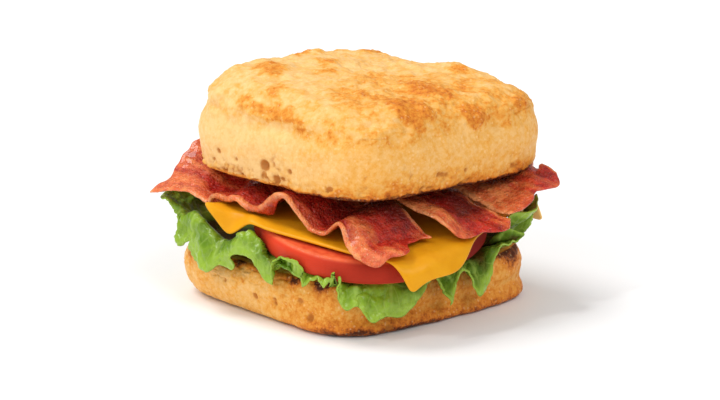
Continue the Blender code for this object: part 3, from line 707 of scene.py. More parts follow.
def top_half():
    """Rings moved along their normals by soft lumps, wrinkles where it is brown, pores, and a
    torn lower edge, with toast and pit worked out from the same noise."""
    rings = top_half_rings()
    height = rings[..., 2]
    above = step(TOP_UNDERSIDE - 0.1, TOP_UNDERSIDE + 1.0, height)
    ragged = height + 3.0 * layered(rings, 9.0, 39)
    crowned = step(68.0, 73.0, ragged)
    wisps = wrinkled(rings * np.array((1.0, 1.0, 1.6)), 5.0, 45)
    wrinkles = wrinkled(rings, 2.4, 53) - 0.4
    strayed = np.stack([layered(rings, 4.5, seed) for seed in (71, 72, 73)], axis=-1)
    browned = around(TOP_SPREAD * (rings + 2.0 * strayed), np.array(TOP_BROWN) * (*TOP_SPREAD, 1, 1))
    right = facing(BEARING, BROWN_SIDES[1], -0.1, 0.9)
    low = step(64.0, 52.0, height)
    blistered = step(0.12, 0.42, browned * (1.0 + 0.7 * layered(rings, 3.2, 47)))
    patches = 0.42 * blistered + np.clip(browned, -0.15, 0.0)
    banded = layered(rings * np.array((0.6, 0.6, 1.5)), 5.0, 50)
    toast = 0.06 + 0.09 * (1 - crowned) * banded
    toast = toast + crowned * (0.05 + 0.16 * layered(rings, 7.0, 41) + 0.34 * (wisps - 0.45))
    toast = toast + patches + 0.08 * layered(rings, 6.0, 49)
    toast = toast + right * (0.26 + 0.13 * low)
    toast = toast - 0.7 * np.clip(toast - 0.56, 0, None)
    holes = step(0.15, 0.5, layered(rings, 2.6, 75)) * step(-0.25, 0.3, layered(rings, 9.0, 76))
    torn = step(TOP_UNDERSIDE + 6.5, TOP_UNDERSIDE + 0.5, ragged) * above
    broken = torn * step(0.1, 0.55, layered(rings, 3.0, 77))
    cracks = step(0.70, 0.95, wrinkled(rings, 3.6, 78)) * step(62.0, 53.0, ragged)
    opened = 0.5 * holes * step(65.0, 58.0, ragged) + 1.1 * broken + 0.35 * cracks
    pit = 1.3 * around(rings, TOP_PITS) + opened * above
    lumps = 1.3 * layered(rings, 9.0, 59) + 0.6 * layered(rings, 3.4, 60)
    relief = 0.4 * layered(rings, 5.0, 57) + crowned * lumps
    relief = relief + 0.5 * crowned * blistered
    relief = above * (relief + (0.15 + 0.8 * np.clip(toast - 0.2, 0, 0.5)) * wrinkles)
    crumbs = layered(rings, 3.2, 61)
    relief = relief + torn * (1.2 * crumbs - 0.3)
    toast = toast + torn * (0.40 * crumbs + 0.18)
    toast = toast + 0.5 * step(TOP_UNDERSIDE + 1.8, TOP_UNDERSIDE + 0.4, height)
    rings = moved_out(rings, relief - pit)
    edge = step(TOP_UNDERSIDE + 3.0, TOP_UNDERSIDE, rings[..., 2]) * above
    rings[..., 2] += edge * np.clip(1.4 * layered(rings, 4.5, 65), 0.0, 1.4) * (1 - 0.8 * right)
    return rings, {"toast": np.clip(toast, 0, 1), "pit": np.clip(pit, 0, 1)}


rings, marks = top_half()
ringed_piece("roll_top", rings, marks, CRUST, "bun_top")

# %% [markdown]
# ## The lettuce's finish
#
# A leaf is pale along its ruffled rim and darker inside, with a net of thin pale veins.
# The mesh carries four values: rim, for how close the edge is, vein, for the large
# veins, hollow, for painted shade inside the folds, and sheet, which is millimetres along
# and across the leaf, so that the net of small veins follows the folds. Hollow paints
# shade from green through deep green to dark brown, and takes the wet coat's gloss away.

# %% The lettuce's finish
def leaf_material():
    """Green from dark to pale by rim and clouds, darkened by painted shade in the hollows, under a net
    of veins from two sizes of cells.
    """
    finish = {"Specular_IOR_Level": 0.06, "Coat_Roughness": 0.22}
    material, tree, shader, place = start_material("crisp_leaf", **finish)
    rim = attribute(tree, "rim")
    vein = attribute(tree, "vein")
    hollow = attribute(tree, "hollow")
    sheet = attribute(tree, "sheet", "Vector")
    cloud = masked(tree, MOTTLE, place, Size=8.0, Softness=0.2)
    net = []
    for size, width in ((5.5, 0.07), (2.2, 0.10)):
        inputs = {"Vector": sheet, "Scale": 1 / size}
        cells = add_node(tree, "ShaderNodeTexVoronoi", inputs, feature="DISTANCE_TO_EDGE")
        net.append(spread(tree, cells.outputs["Distance"], 0.0, width, 1.0, 0.0))
    large, small = [figure(tree, "MULTIPLY", web, amount) for web, amount in zip(net, (0.55, 0.25))]
    lines = figure(tree, "MAXIMUM", large, small)
    lines = figure(tree, "MAXIMUM", lines, vein)
    green = blend(tree, cloud, (0.11, 0.22, 0.008), (0.22, 0.36, 0.016))
    green = blend(tree, spread(tree, rim, 0.3, 1.0, 0.0, 0.7), green, (0.33, 0.50, 0.045))
    # Painted shade: deep green where hollow is high
    green = blend(tree, spread(tree, hollow, 0.2, 1.0, 0.0, 0.85), green, (0.025, 0.070, 0.008))
    green = blend(tree, figure(tree, "MULTIPLY", lines, 0.4), green, (0.42, 0.58, 0.11))
    # Painted shade: dark brown where hollow is deepest
    green = blend(tree, spread(tree, hollow, 0.7, 0.95, 0.0, 0.8), green, (0.075, 0.020, 0.003))
    tree.links.new(spread(tree, hollow, 0.2, 0.7, 0.6, 0.0), shader.inputs["Coat Weight"])
    rough = spread(tree, cloud, 0.0, 1.0, 0.30, 0.45)
    feed(tree, shader, green, rough, figure(tree, "MULTIPLY", lines, -1.0), 0.5, 0.35)
    return material


LEAF = leaf_material()
print("finish:", LEAF.name)

# %% [markdown]
# ## The lettuce leaves
#
# Two leaves lie flat on the bottom half and hang over its edge in deep ruffles. The
# rim is a list of points, each with a bearing, a reach beyond the roll and a height,
# joined by a smooth curve that may turn back on itself. From the flat part a curved
# line runs out to each point of the rim, and a few swells raise it in between. Finer
# crumples are noise along the normals.

# %% The rims of the leaves
LEAF_THICKNESS = 0.7
LEAF_GAP = 0.75
LEAF_TURN_IN = 9.0
LEAF_BEND_REACH = 0.75
LEAF_BEND_LIFT = 2.8
LEAF_BEND_RISE = 0.25
LEAF_STEEP_FROM = 8.0
LEAF_STEEP_OVER = 6.0
LEAF_STEEP_RISE = 0.12
LEAF_STEEP_OUT = 1.5
LEAF_MARGIN = 2.6
LEAF_INNER_SHARE = 0.34
LEAF_FOLLOW = 2.5
LEAF_STEPS_EACH = 12
LEAF_ROWS = 44
LEAF_INNER_ROWS = 6
LEAF_RIM = 0.6
VEIN_SPACING = 15.0
# Points along the rim: bearing, reach beyond the roll and height
LEFT_RUFFLES = (
    (-95.5, 7.5, 27.5), (-97.0, 5.5, 22.0), (-99.0, 4.5, 20.2), (-103.0, 4.5, 22.8),
    (-107.0, 5.0, 19.3), (-107.5, 6.0, 24.5), (-110.0, 7.5, 28.0), (-115.0, 7.5, 28.0),
    (-118.5, 6.0, 24.0), (-120.0, 5.0, 17.3), (-126.5, 4.5, 19.2), (-130.5, 4.5, 24.5),
    (-134.5, 5.0, 25.5), (-139.5, 5.0, 24.5), (-141.5, 5.0, 18.7), (-148.5, 4.5, 19.0),
    (-153.5, 5.5, 15.3), (-160.5, 5.0, 17.0), (-166.0, 4.5, 18.5), (-169.0, 2.5, 23.0),
    (-172.0, 3.5, 20.5), (-174.5, 4.5, 22.5), (-175.5, 3.0, 28.0), (-177.0, 4.5, 33.0),
    (-180.0, 9.5, 36.0), (-186.0, 8.0, 38.0), (-194.0, 5.0, 39.0), (-203.0, 4.0, 38.0),
    (-211.0, 4.5, 33.0), (-217.0, 6.0, 24.0), (-224.0, 5.0, 20.0), (-231.0, 6.5, 30.0),
    (-237.0, 4.5, 37.0), (-243.0, 5.0, 35.0), (-249.0, 6.5, 24.0), (-255.0, 5.0, 19.0),
    (-260.0, 6.0, 28.0), (-265.0, 5.5, 36.0),
)
# Where the leaf swells up between its flat part and its rim: bearing, half width and rise
LEFT_SWELLS = ((-166.0, 14.0, 11.5), (-139.0, 10.0, 8.5), (-128.0, 7.0, 4.0))
RIGHT_RUFFLES = (
    (-94.3, 7.5, 26.0), (-94.3, 7.0, 18.0), (-92.3, 6.5, 12.8), (-88.5, 8.0, 14.5),
    (-84.0, 9.0, 8.3), (-79.0, 8.5, 9.5), (-73.0, 8.0, 8.3), (-68.0, 7.5, 13.0),
    (-62.5, 5.5, 17.5), (-58.0, 6.0, 19.5), (-54.5, 6.5, 14.0), (-51.5, 6.0, 7.8),
    (-49.0, 5.5, 12.0), (-46.0, 5.5, 19.0), (-43.0, 6.0, 18.5), (-40.0, 6.5, 9.8),
    (-36.5, 6.0, 9.5), (-31.5, 5.0, 12.5), (-28.5, 4.5, 20.0), (-27.0, 5.0, 26.5),
    (-22.0, 4.5, 25.5), (-16.0, 4.0, 25.0), (-14.0, 4.0, 27.5), (-17.5, 3.5, 29.5),
    (-24.0, 4.5, 33.3), (-23.0, 7.5, 37.5), (-17.5, 8.5, 38.5), (-12.5, 8.5, 39.5),
    (-9.0, 7.3, 41.0), (-7.5, 6.0, 36.0), (-6.0, 3.0, 29.0), (-3.0, -2.0, 24.5),
    (1.0, -3.5, 22.5), (6.0, 1.0, 21.5), (10.0, 5.0, 24.0), (15.0, 4.5, 18.0), (21.0, 5.0, 17.0),
    (27.0, 6.5, 26.0), (34.0, 4.5, 34.0), (42.0, 6.5, 37.0), (49.0, 4.5, 30.0), (56.0, 6.0, 20.0),
    (63.0, 5.0, 18.0), (70.0, 6.0, 27.0), (77.0, 5.0, 36.0), (84.0, 6.0, 38.0), (90.0, 5.0, 33.0),
)

# %% The tomato's place, which the leaves keep clear of
TOMATO_CENTRE = np.array((6.2, -23.0))
TOMATO_RADIUS = 42.2
TOMATO_UNDERSIDE = 27.3
TOMATO_THICKNESS = 8.5
TOMATO_SLOPE = np.array((-0.034, 0.13))
TOMATO_SAG = 0.0012
# How often a wave goes round, its share of the radius and where it starts
TOMATO_WAVES = ((2, 0.024, -0.58), (3, 0.043, -1.50))


def tomato_radius(bearing):
    """Radius of the slice: a circle with shallow waves."""
    waves = sum(amount * np.cos(count * bearing + phase) for count, amount, phase in TOMATO_WAVES)
    return TOMATO_RADIUS * (1 + waves)


def tomato_lean(x, y):
    """How much higher the slice lies than at its centre: a slope, less a square of the way back."""
    across, back = x - TOMATO_CENTRE[0], y - TOMATO_CENTRE[1]
    return TOMATO_SLOPE[0] * across + TOMATO_SLOPE[1] * back - TOMATO_SAG * np.maximum(back, 0) ** 2


# %% The leaves
def leaf_surface(ruffles, swells):
    """Points (1-s)^2 root + 2s(1-s) bend + s^2 rim: one bend from the flat part to each point of
    the rim, raised by the swells."""
    count = len(ruffles)
    columns = np.linspace(0, count - 1, (count - 1) * LEAF_STEPS_EACH + 1)
    rim_bearing, reach, rim_height = through(np.arange(count), ruffles, columns).T
    rim_bearing = np.radians(rim_bearing)
    follow = round(LEAF_FOLLOW * LEAF_STEPS_EACH)
    padded = np.pad(rim_bearing, follow, mode="reflect", reflect_type="odd")
    root_bearing = np.convolve(padded, np.ones(2 * follow + 1) / (2 * follow + 1), mode="valid")
    inner = LEAF_INNER_ROWS
    s = np.concatenate((np.zeros(inner), np.linspace(0, 1, LEAF_ROWS) ** 0.9))[:, None]
    inward = np.concatenate((np.linspace(1, 1 / inner, inner), np.zeros(LEAF_ROWS)))[:, None]
    bearing = root_bearing + (rim_bearing - root_bearing) * s
    outline = roll_radius(bearing, BOTTOM_HALF_SIDE)
    base = BOTTOM_HEIGHT + LEAF_GAP
    raised = np.maximum(rim_height - base, 0.0)
    steep = np.clip((raised - LEAF_STEEP_FROM) / LEAF_STEEP_OVER, 0.0, 1.0)
    bend_height = base + LEAF_BEND_LIFT + (LEAF_BEND_RISE + LEAF_STEEP_RISE * steep) * raised
    bend_out = (1 - steep) * LEAF_BEND_REACH * reach + steep * LEAF_STEEP_OUT
    radius = (1 - s) ** 2 * (outline - LEAF_TURN_IN) + 2 * s * (1 - s) * (outline + bend_out)
    radius = radius + s**2 * (outline + reach)
    radius = radius * (1 - inward) + inward * LEAF_INNER_SHARE * outline
    height = (1 - s) ** 2 * base + 2 * s * (1 - s) * bend_height + s**2 * rim_height
    for at, width, rise in swells:
        swell = bell(np.degrees(bearing), at, width) * np.sin(np.pi * s) ** 1.5
        height, radius = height + rise * swell, radius + 0.1 * rise * swell
    x, y = radius * np.cos(bearing), radius * np.sin(bearing)
    from_tomato = np.hypot(x - TOMATO_CENTRE[0], y - TOMATO_CENTRE[1])
    tomato_edge = tomato_radius(np.arctan2(y - TOMATO_CENTRE[1], x - TOMATO_CENTRE[0])) + LEAF_MARGIN
    roof = TOMATO_UNDERSIDE + tomato_lean(x, y) - LEAF_GAP
    height = np.where(from_tomato < tomato_edge, np.minimum(height, roof), height)
    return np.stack((x, y, height), axis=-1), s + np.zeros_like(x)


def make_leaf(name, ruffles, swells, seed, node):
    """The surface with crumples along its normals, and its veins and rim as values."""
    middle, s = leaf_surface(ruffles, swells)
    loose = step(0.25, 0.6, s)
    folds = noise(middle, 9.0, seed)
    creases = wrinkled(middle, 5.0, seed + 2) - 0.5
    crumple = loose * (2.0 * folds + 1.6 * creases + 0.3 * layered(middle, 2.2, seed + 7))
    middle = middle + grid_normals(middle, False) * crumple[..., None]
    steps = np.linalg.norm(np.diff(middle, axis=1), axis=-1)
    along = np.pad(np.cumsum(steps.mean(axis=0)), (1, 0)) + np.zeros_like(s)
    steps = np.linalg.norm(np.diff(middle, axis=0), axis=-1)
    across = np.pad(np.cumsum(steps.mean(axis=1)), (1, 0))[:, None] + np.zeros_like(s)
    sheet = np.stack((along, across, np.zeros_like(along)), axis=-1)
    wander = along + 3.0 * noise(sheet, 12.0, seed + 3)
    line = np.abs((wander / VEIN_SPACING) % 1.0 - 0.5) * VEIN_SPACING
    vein = step(1.0, 0.2, line) * step(0.98, 0.7, s)
    from_end = np.minimum(along, along.max() - along)
    inside = np.minimum(across.max() - across, np.minimum(from_end, across))
    thickness = LEAF_THICKNESS * (1 + 0.6 * vein) * rounded_rim(inside, LEAF_RIM)
    thickness[[0, -1]] = 0.0
    thickness[:, [0, -1]] = 0.0
    from_rim = across.max() - across + 2.0 * noise(sheet, 7.0, seed + 5)
    rim = step(9.0, 0.5, from_rim)
    # Deep inside the fold, less so behind, in the dents, and on the shaded right
    hollow = step(0.30, 0.10, s) * (0.9 - 0.6 * step(8.0, 25.0, middle[..., 1]))
    hollow = hollow + 0.35 * step(0.1, -0.7, folds) * step(1.0, 0.7, s)
    shaded = 0.36 * step(-15.0, 3.0, middle[..., 0]) + 0.26 * step(5.0, 42.0, middle[..., 0])
    hollow = hollow + shaded * (1 - 0.9 * step(3.5, 0.5, from_rim))
    values = {"rim": rim, "vein": vein, "hollow": hollow, "sheet": sheet}
    sheet_piece(name, middle, thickness, values, LEAF, node)


make_leaf("leaf_left", LEFT_RUFFLES, LEFT_SWELLS, 71, "lettuce_left")
make_leaf("leaf_right", RIGHT_RUFFLES, (), 91, "lettuce_right")

# %% [markdown]
# ## The tomato slice
#
# A slice has a glossy skin round its edge and two wet cut faces. On a cut face the
# flesh forms a ring and spokes, with pockets of darker, clear jelly between them that
# hold pale seeds. The pockets and seeds are values on the mesh, and dent it too. Three
# more say where the skin is, where painted shade darkens its right side and lower skin,
# and where a painted highlight runs as a light line between skin and flesh.

# %% The tomato's finish
def tomato_material():
    """Red flesh, darker jelly, pale seeds, a skin, painted shade on its right and lower side, and a
    painted highlight line, all wet.
    """
    material, tree, shader, place = start_material("wet_tomato", Specular_IOR_Level=0.07)
    skin = attribute(tree, "skin")
    jelly = attribute(tree, "jelly")
    seed = attribute(tree, "seed")
    cloud = masked(tree, MOTTLE, place, Size=4.0, Softness=0.25)
    fibres = masked(tree, MOTTLE, place, Size=0.7, Softness=0.3)
    flesh = blend(tree, cloud, (0.62, 0.052, 0.020), (0.76, 0.125, 0.042))
    flesh = blend(tree, figure(tree, "MULTIPLY", jelly, 0.8), flesh, (0.42, 0.07, 0.012))
    flesh = blend(tree, seed, flesh, (0.72, 0.48, 0.20))
    painted_shade = attribute(tree, "painted_shade")
    colour = blend(tree, skin, flesh, (0.68, 0.055, 0.022))
    # Painted shade: dark red on the right side and on the lower skin
    colour = blend(tree, painted_shade, colour, (0.14, 0.005, 0.004))
    line = attribute(tree, "line")
    # Painted highlight: a light line along the upper cut edge
    colour = blend(tree, line, colour, (0.80, 0.20, 0.08))
    rough = spread(tree, fibres, 0.0, 1.0, 0.10, 0.22)
    rough = figure(tree, "MAXIMUM", rough, figure(tree, "MULTIPLY", painted_shade, 0.8))
    feed(tree, shader, colour, rough, fibres, 0.25, 0.2)
    return material


TOMATO = tomato_material()
print("finish:", TOMATO.name)

# %% The tomato slice
TOMATO_COLUMNS = 480
TOMATO_POCKETS = 6
TOMATO_FACE_ROWS = 56
TOMATO_EDGE_ROWS = 30
# The bearing in degrees of the side that is darkened with painted shade
SHADED_SIDE = -28.0
# Height share of the cut edge, then how far the skin bulges there
TOMATO_EDGE = np.array(((0.0, -1.6), (0.08, -0.4), (0.3, 0.3), (0.7, 0.3), (0.92, -0.4), (1.0, -1.6)))


def tomato_slice():
    """Rings over the lower face, round the bulging edge and over the upper face, with pockets."""
    bearing = np.linspace(0, 2 * np.pi, TOMATO_COLUMNS, endpoint=False)
    outline = tomato_radius(bearing)
    share, bulge = profile(TOMATO_EDGE, TOMATO_EDGE_ROWS)
    face = np.linspace(0.02, 0.995, TOMATO_FACE_ROWS)[:, None] * (outline + TOMATO_EDGE[0, 1])
    radius = np.vstack((face, outline + bulge, face[::-1]))
    edge = np.clip(share, 0, 1) + np.zeros_like(outline)
    height = np.vstack((np.zeros_like(face), edge, np.ones_like(face)))
    on_face = np.pad(np.zeros(TOMATO_EDGE_ROWS), TOMATO_FACE_ROWS, constant_values=1.0)[:, None]
    reach = radius / outline
    spoke = np.abs(np.cos(TOMATO_POCKETS * bearing / 2 + 0.5 * np.sin(2 * bearing)))
    pocket = step(0.30, 0.38, reach) * step(0.84, 0.78, reach)
    jelly = pocket * step(0.25, 0.42, spoke + 0.2 * (reach - 0.5)) * on_face
    x, y = polar(TOMATO_CENTRE, radius, bearing)
    z = TOMATO_UNDERSIDE + height * TOMATO_THICKNESS + tomato_lean(x, y)
    rings = np.stack((x, y, z), axis=-1)
    seed = jelly * step(0.42, 0.6, noise(rings * np.array((1, 1, 0.2)), 1.7, 111))
    rings[..., 2] += (0.5 - height) * jelly * (0.8 - 0.8 * seed)
    rings[..., 2] += (height - 0.5) * 0.2 * layered(rings, 3.0, 113) * on_face
    skin = (1 - on_face) * step(0.02, 0.10, height) * step(0.98, 0.90, height)
    # Painted shade: the right side of both faces and the skin, and the lower skin
    painted_shade = 0.9 * facing(bearing, SHADED_SIDE, 0.5, 0.98) * step(0.2, 0.6, reach)
    painted_shade = np.maximum(painted_shade, 0.55 * facing(bearing, SHADED_SIDE, -0.35, 0.45) * skin)
    painted_shade = np.maximum(painted_shade, 0.35 * step(0.8, 0.05, height) * skin)
    # Painted highlight: a light line where the skin meets the upper cut face
    line = 0.35 * step(0.85, 0.95, height) * step(0.952, 0.966, reach) * (1 - painted_shade)
    skin = skin + np.zeros_like(x)
    return rings, {"skin": skin, "jelly": jelly, "seed": seed, "painted_shade": painted_shade, "line": line}


rings, marks = tomato_slice()
ringed_piece("tomato", rings, marks, TOMATO, "tomato_slice")

# %% [markdown]
# ## The cheese
#
# A slice was laid over the tomato and melted. Where it passes the rim it bends down, and
# at the front corner it hangs in a drip. Its shape is that rule: a flat point keeps its
# bearing, goes out to the rim, round a small bend and straight down the droop. Before
# that the corners are rounded, and one front edge is moved out and the other in, as
# melting does. The value pale lightens the thin border and the far right corner.

# %% The cheese's finish
def cheese_material():
    """Warm yellow in soft clouds, smooth, with faint oil spots."""
    material, tree, shader, place = start_material("melted_cheese", Specular_IOR_Level=0.12)
    cloud = masked(tree, MOTTLE, place, Size=7.0, Softness=0.25)
    oil = masked(tree, MOTTLE, place, Size=1.2, Softness=0.25)
    colour = blend(tree, cloud, (0.68, 0.265, 0.005), (0.76, 0.335, 0.010))
    pale = attribute(tree, "pale")
    colour = blend(tree, spread(tree, pale, 0.0, 0.5), colour, (0.84, 0.41, 0.006))
    colour = blend(tree, spread(tree, pale, 0.5, 1.0), colour, (0.88, 0.55, 0.16))
    rough = spread(tree, oil, 0.0, 1.0, 0.28, 0.42)
    feed(tree, shader, colour, rough, oil, 0.12, 0.2)
    return material


CHEESE = cheese_material()
print("finish:", CHEESE.name)

# %% The cheese slice
CHEESE_SIDES = (102.2, 93.0)
CHEESE_THICKNESS = 2.0
CHEESE_FRONT = np.array((22.6, -77.3))
CHEESE_TURN = np.radians(57.5)
CHEESE_RIM_GAP = 1.6
CHEESE_FIT_GAP = 0.6
CHEESE_BEND = 5.0
CHEESE_DROOP = np.radians(46.0)
CHEESE_DRIP = np.radians(36.0)
CHEESE_DRIP_WIDTH = np.radians(26.0)
# How melting moved the front edges: distance from the corner, half width and how far out
CHEESE_RIGHT_EDGE = (22.0, 13.0, 6.0)
CHEESE_LEFT_EDGE = (13.0, 9.5, -2.4)
CHEESE_CORNER = 2.5
CHEESE_STEPS = 190
# What props the slice up past the rim: bearing, width of the prop and its reach
CHEESE_PROPS = ((14.0, 20.0, 17.0), (104.0, 24.0, 17.0), (181.0, 5.5, 22.0))
# Where melting moved it: x, y, radius and rise
CHEESE_SAGS = (
    (-55.0, -27.5, 6.0, 2.6), (-46.5, -32.0, 3.5, -1.2), (-38.5, -37.5, 5.0, 1.6),
    (20.0, -67.0, 5.0, -1.5),
)


def cheese_top(x, y):
    """Height of the cheese's upper face where it lies on the tomato."""
    return TOMATO_UNDERSIDE + TOMATO_THICKNESS + CHEESE_FIT_GAP + CHEESE_THICKNESS + tomato_lean(x, y)


def angle_between(bearing, other):
    """Difference of two bearings, from minus half a turn to half a turn."""
    return np.angle(np.exp(1j * (bearing - other)))


def draped(x, y):
    """Past the rim the way goes round an arc and then straight: out by its cosine, down by its sine."""
    across, back = x - TOMATO_CENTRE[0], y - TOMATO_CENTRE[1]
    bearing, reach = np.arctan2(back, across), np.hypot(across, back)
    front = CHEESE_FRONT - TOMATO_CENTRE
    from_front = angle_between(bearing, np.arctan2(front[1], front[0]))
    drip = bell(from_front, 0.0, CHEESE_DRIP_WIDTH)
    rim = tomato_radius(bearing) + CHEESE_RIM_GAP
    for prop_bearing, width, prop_reach in CHEESE_PROPS:
        from_prop = angle_between(bearing, np.radians(prop_bearing))
        rim = rim + prop_reach * bell(from_prop, 0.0, np.radians(width))
    past = np.maximum(reach - rim, 0.0)
    bend = np.minimum(past / CHEESE_BEND, CHEESE_DROOP + CHEESE_DRIP * drip)
    straight = past - CHEESE_BEND * bend
    out = CHEESE_BEND * np.sin(bend) + straight * np.cos(bend)
    down = CHEESE_BEND * (1 - np.cos(bend)) + straight * np.sin(bend)
    kept = np.minimum(reach, rim) + out
    x, y = polar(TOMATO_CENTRE, kept, bearing)
    return np.stack((x, y, cheese_top(x, y) - CHEESE_THICKNESS / 2 - down), axis=-1)


def slice_point(right, left):
    """A flat point by its distances from the front corner. A bell moves each front edge, less and
    less with the cube of the share that is left of the side."""
    moved = []
    for value, other, side, (at, width, out) in (
        (right, left, CHEESE_SIDES[0], CHEESE_LEFT_EDGE),
        (left, right, CHEESE_SIDES[1], CHEESE_RIGHT_EDGE),
    ):
        moved.append(value - out * bell(other, at, width) * (1 - value / side) ** 3)
    return laid(CHEESE_FRONT, CHEESE_TURN, *moved)


def rounded_square(right, left):
    """Points pulled in at the corners: the larger way past a corner's middle over both together."""
    moved = []
    for value, length in ((right, CHEESE_SIDES[0]), (left, CHEESE_SIDES[1])):
        moved.append(np.abs(value - length / 2) - (length / 2 - CHEESE_CORNER))
    a, b = np.clip(moved[0], 0, None), np.clip(moved[1], 0, None)
    shrink = np.maximum(a, b) / np.maximum(np.hypot(a, b), 1e-9)
    shrink = np.where((a > 0) & (b > 0), shrink, 1.0)
    right = right - np.sign(right - CHEESE_SIDES[0] / 2) * a * (1 - shrink)
    left = left - np.sign(left - CHEESE_SIDES[1] / 2) * b * (1 - shrink)
    return right, left


def cheese_slice():
    """The rounded slice, draped, sagging at a few places, with a rim that melting made thinner."""
    rim = CHEESE_THICKNESS / 2
    lines = [crowded(side, CHEESE_STEPS, rim) for side in CHEESE_SIDES]
    right, left = np.meshgrid(*lines)
    ways = (right, CHEESE_SIDES[0] - right, left, CHEESE_SIDES[1] - left)
    inside = np.minimum.reduce(ways)
    right, left = rounded_square(right, left)
    x, y = slice_point(right, left)
    middle = draped(x, y)
    middle[..., 2] += 0.2 * layered(middle, 12.0, 131) * step(0.0, 6.0, inside)
    for at_x, at_y, radius, rise in CHEESE_SAGS:
        gone = (middle[..., 0] - at_x) ** 2 + (middle[..., 1] - at_y) ** 2
        middle[..., 2] += rise * np.exp(-gone / radius**2)
    thinner = 1 - 0.35 * step(5.0, 0.5, inside)
    thickness = CHEESE_THICKNESS * thinner * rounded_rim(inside, rim)
    pale = np.maximum(0.9 * step(52.0, 60.0, middle[..., 0]), 0.15 * step(8.0, 2.0, inside))
    return middle, thickness, {"pale": pale}


middle, thickness, marks = cheese_slice()
sheet_piece("cheese", middle, thickness, marks, CHEESE, "cheese_slice")

# %% [markdown]
# ## The bacon's finish
#
# A strip of fried bacon is streaked along its length: bands of lean, which fry to a
# dark red, and bands of fat, which turn orange and glassy. Its edges have a thin pale
# line of fat. The mesh carries fat, from 0 in the lean to 1 in the fat and above 1 in
# that line, and a char value, for where it has fried dark and for painted shade next to
# the roll, between its folds and under its fold. Small pale specks are painted glints of grease.

# %% The bacon's finish
def bacon_material():
    """Lean and fat mixed by the fat value, each mottled, with painted glints of grease, char and
    painted shade over both, and a greasy shine.
    """
    finish = {"Specular_IOR_Level": 0.3, "Coat_Weight": 0.5, "Coat_Roughness": 0.12}
    material, tree, shader, place = start_material("fried_bacon", **finish)
    fat = attribute(tree, "fat")
    char_and_shade = attribute(tree, "char_and_shade")
    cloud = masked(tree, MOTTLE, place, Size=2.6, Softness=0.2)
    crisp = masked(tree, MOTTLE, place, Size=1.1, Softness=0.2)
    beads_and_glints = masked(tree, SPECKS, place, Size=1.0, Fewer=0.35)
    lean = blend(tree, cloud, (0.38, 0.008, 0.006), (0.72, 0.040, 0.018))
    rind = blend(tree, cloud, (0.80, 0.14, 0.035), (0.92, 0.29, 0.085))
    colour = blend(tree, fat, lean, rind)
    colour = blend(tree, spread(tree, fat, 0.95, 1.4, 0.0, 0.55), colour, (0.90, 0.40, 0.16))
    # Painted highlight: pale glints of grease strewn as specks, mostly on the fat
    painted_glints = figure(tree, "MULTIPLY", beads_and_glints, spread(tree, fat, 0.1, 0.9, 0.16, 0.5))
    colour = blend(tree, painted_glints, colour, (0.97, 0.50, 0.22))
    # Char and painted shade darken both to a deep maroon
    colour = blend(tree, figure(tree, "MULTIPLY", char_and_shade, 0.85), colour, (0.06, 0.005, 0.004))
    rough = spread(tree, crisp, 0.0, 1.0, 0.10, 0.30)
    bumps = figure(tree, "ADD", beads_and_glints, figure(tree, "ADD", crisp, cloud))
    feed(tree, shader, colour, rough, bumps, 0.75, 0.5)
    return material


BACON = bacon_material()
print("finish:", BACON.name)

# %% [markdown]
# ## The bacon strips
#
# Three strips lie side by side across the cheese and stick out at both ends. Each is a
# ribbon whose height is given along its near edge, its middle and its far edge. It must
# not sink into what is below, so it is also kept a set distance from the cheese and the
# tomato, as if a ball were rolled over them, and it stays under the top half.

# %% The bacon's waves
BACON_THICKNESS = 1.8
BACON_CLEARANCE = 0.35
BACON_MARGIN = 1.1
BACON_START = np.array((-77.0, 2.0))
BACON_HEADING = np.radians(-40.0)
BACON_UNDER_ROLL = 1.5
BACON_SWELL_LENGTH = 9.0
BACON_STEPS = (270, 56)
# About how long a strip is, and how many points of the cheese and the tomato it rests on
STRIP_LENGTH = 120
CHEESE_POINTS = 84
TOMATO_POINTS = 180
POINTS_AT_ONCE = 2000
# Distance along a strip, then the height of its near edge, its middle and its far edge
FRONT_WAVES = (
    (0.0, 39.0, 48.0, 57.0), (9.0, 41.0, 46.5, 53.0), (20.0, 42.5, 44.0, 48.0),
    (33.5, 39.0, 41.5, 43.5), (43.4, 44.0, 46.0, 47.0), (53.3, 41.0, 42.0, 43.5),
    (68.3, 49.0, 48.3, 47.5), (76.5, 41.0, 45.0, 46.5), (84.5, 35.5, 39.5, 43.0),
    (90.0, 39.5, 42.0, 46.0), (95.0, 42.5, 43.5, 47.0), (98.5, 35.5, 43.0, 46.5),
    (104.0, 32.4, 39.5, 43.5), (111.0, 28.6, 34.0, 38.0), (119.0, 22.5, 31.5, 32.5),
)
MIDDLE_WAVES = (
    (0.0, 43.0, 44.0, 46.0), (16.0, 47.5, 46.0, 44.0), (32.0, 43.5, 45.0, 47.0),
    (50.0, 47.0, 45.0, 43.5), (66.0, 42.0, 44.0, 47.5), (82.0, 46.0, 45.0, 43.0),
    (98.0, 46.5, 46.5, 46.0), (106.0, 43.0, 45.5, 44.5), (113.0, 42.5, 43.5, 41.0),
    (118.0, 41.5, 39.5, 41.0), (124.0, 36.0, 36.0, 39.5), (130.0, 35.0, 35.2, 38.8),
)
BACK_WAVES = (
    (0.0, 46.0, 45.0, 43.0), (18.0, 43.0, 46.0, 47.5), (36.0, 47.5, 45.0, 43.0),
    (54.0, 43.0, 45.5, 47.5), (72.0, 47.5, 45.0, 44.0), (88.0, 44.0, 45.0, 47.5),
    (102.0, 45.5, 46.5, 48.7), (110.0, 42.0, 46.0, 50.5), (117.0, 40.0, 45.5, 51.5),
    (123.0, 39.5, 45.0, 50.0), (129.0, 39.5, 45.0, 47.5),
)
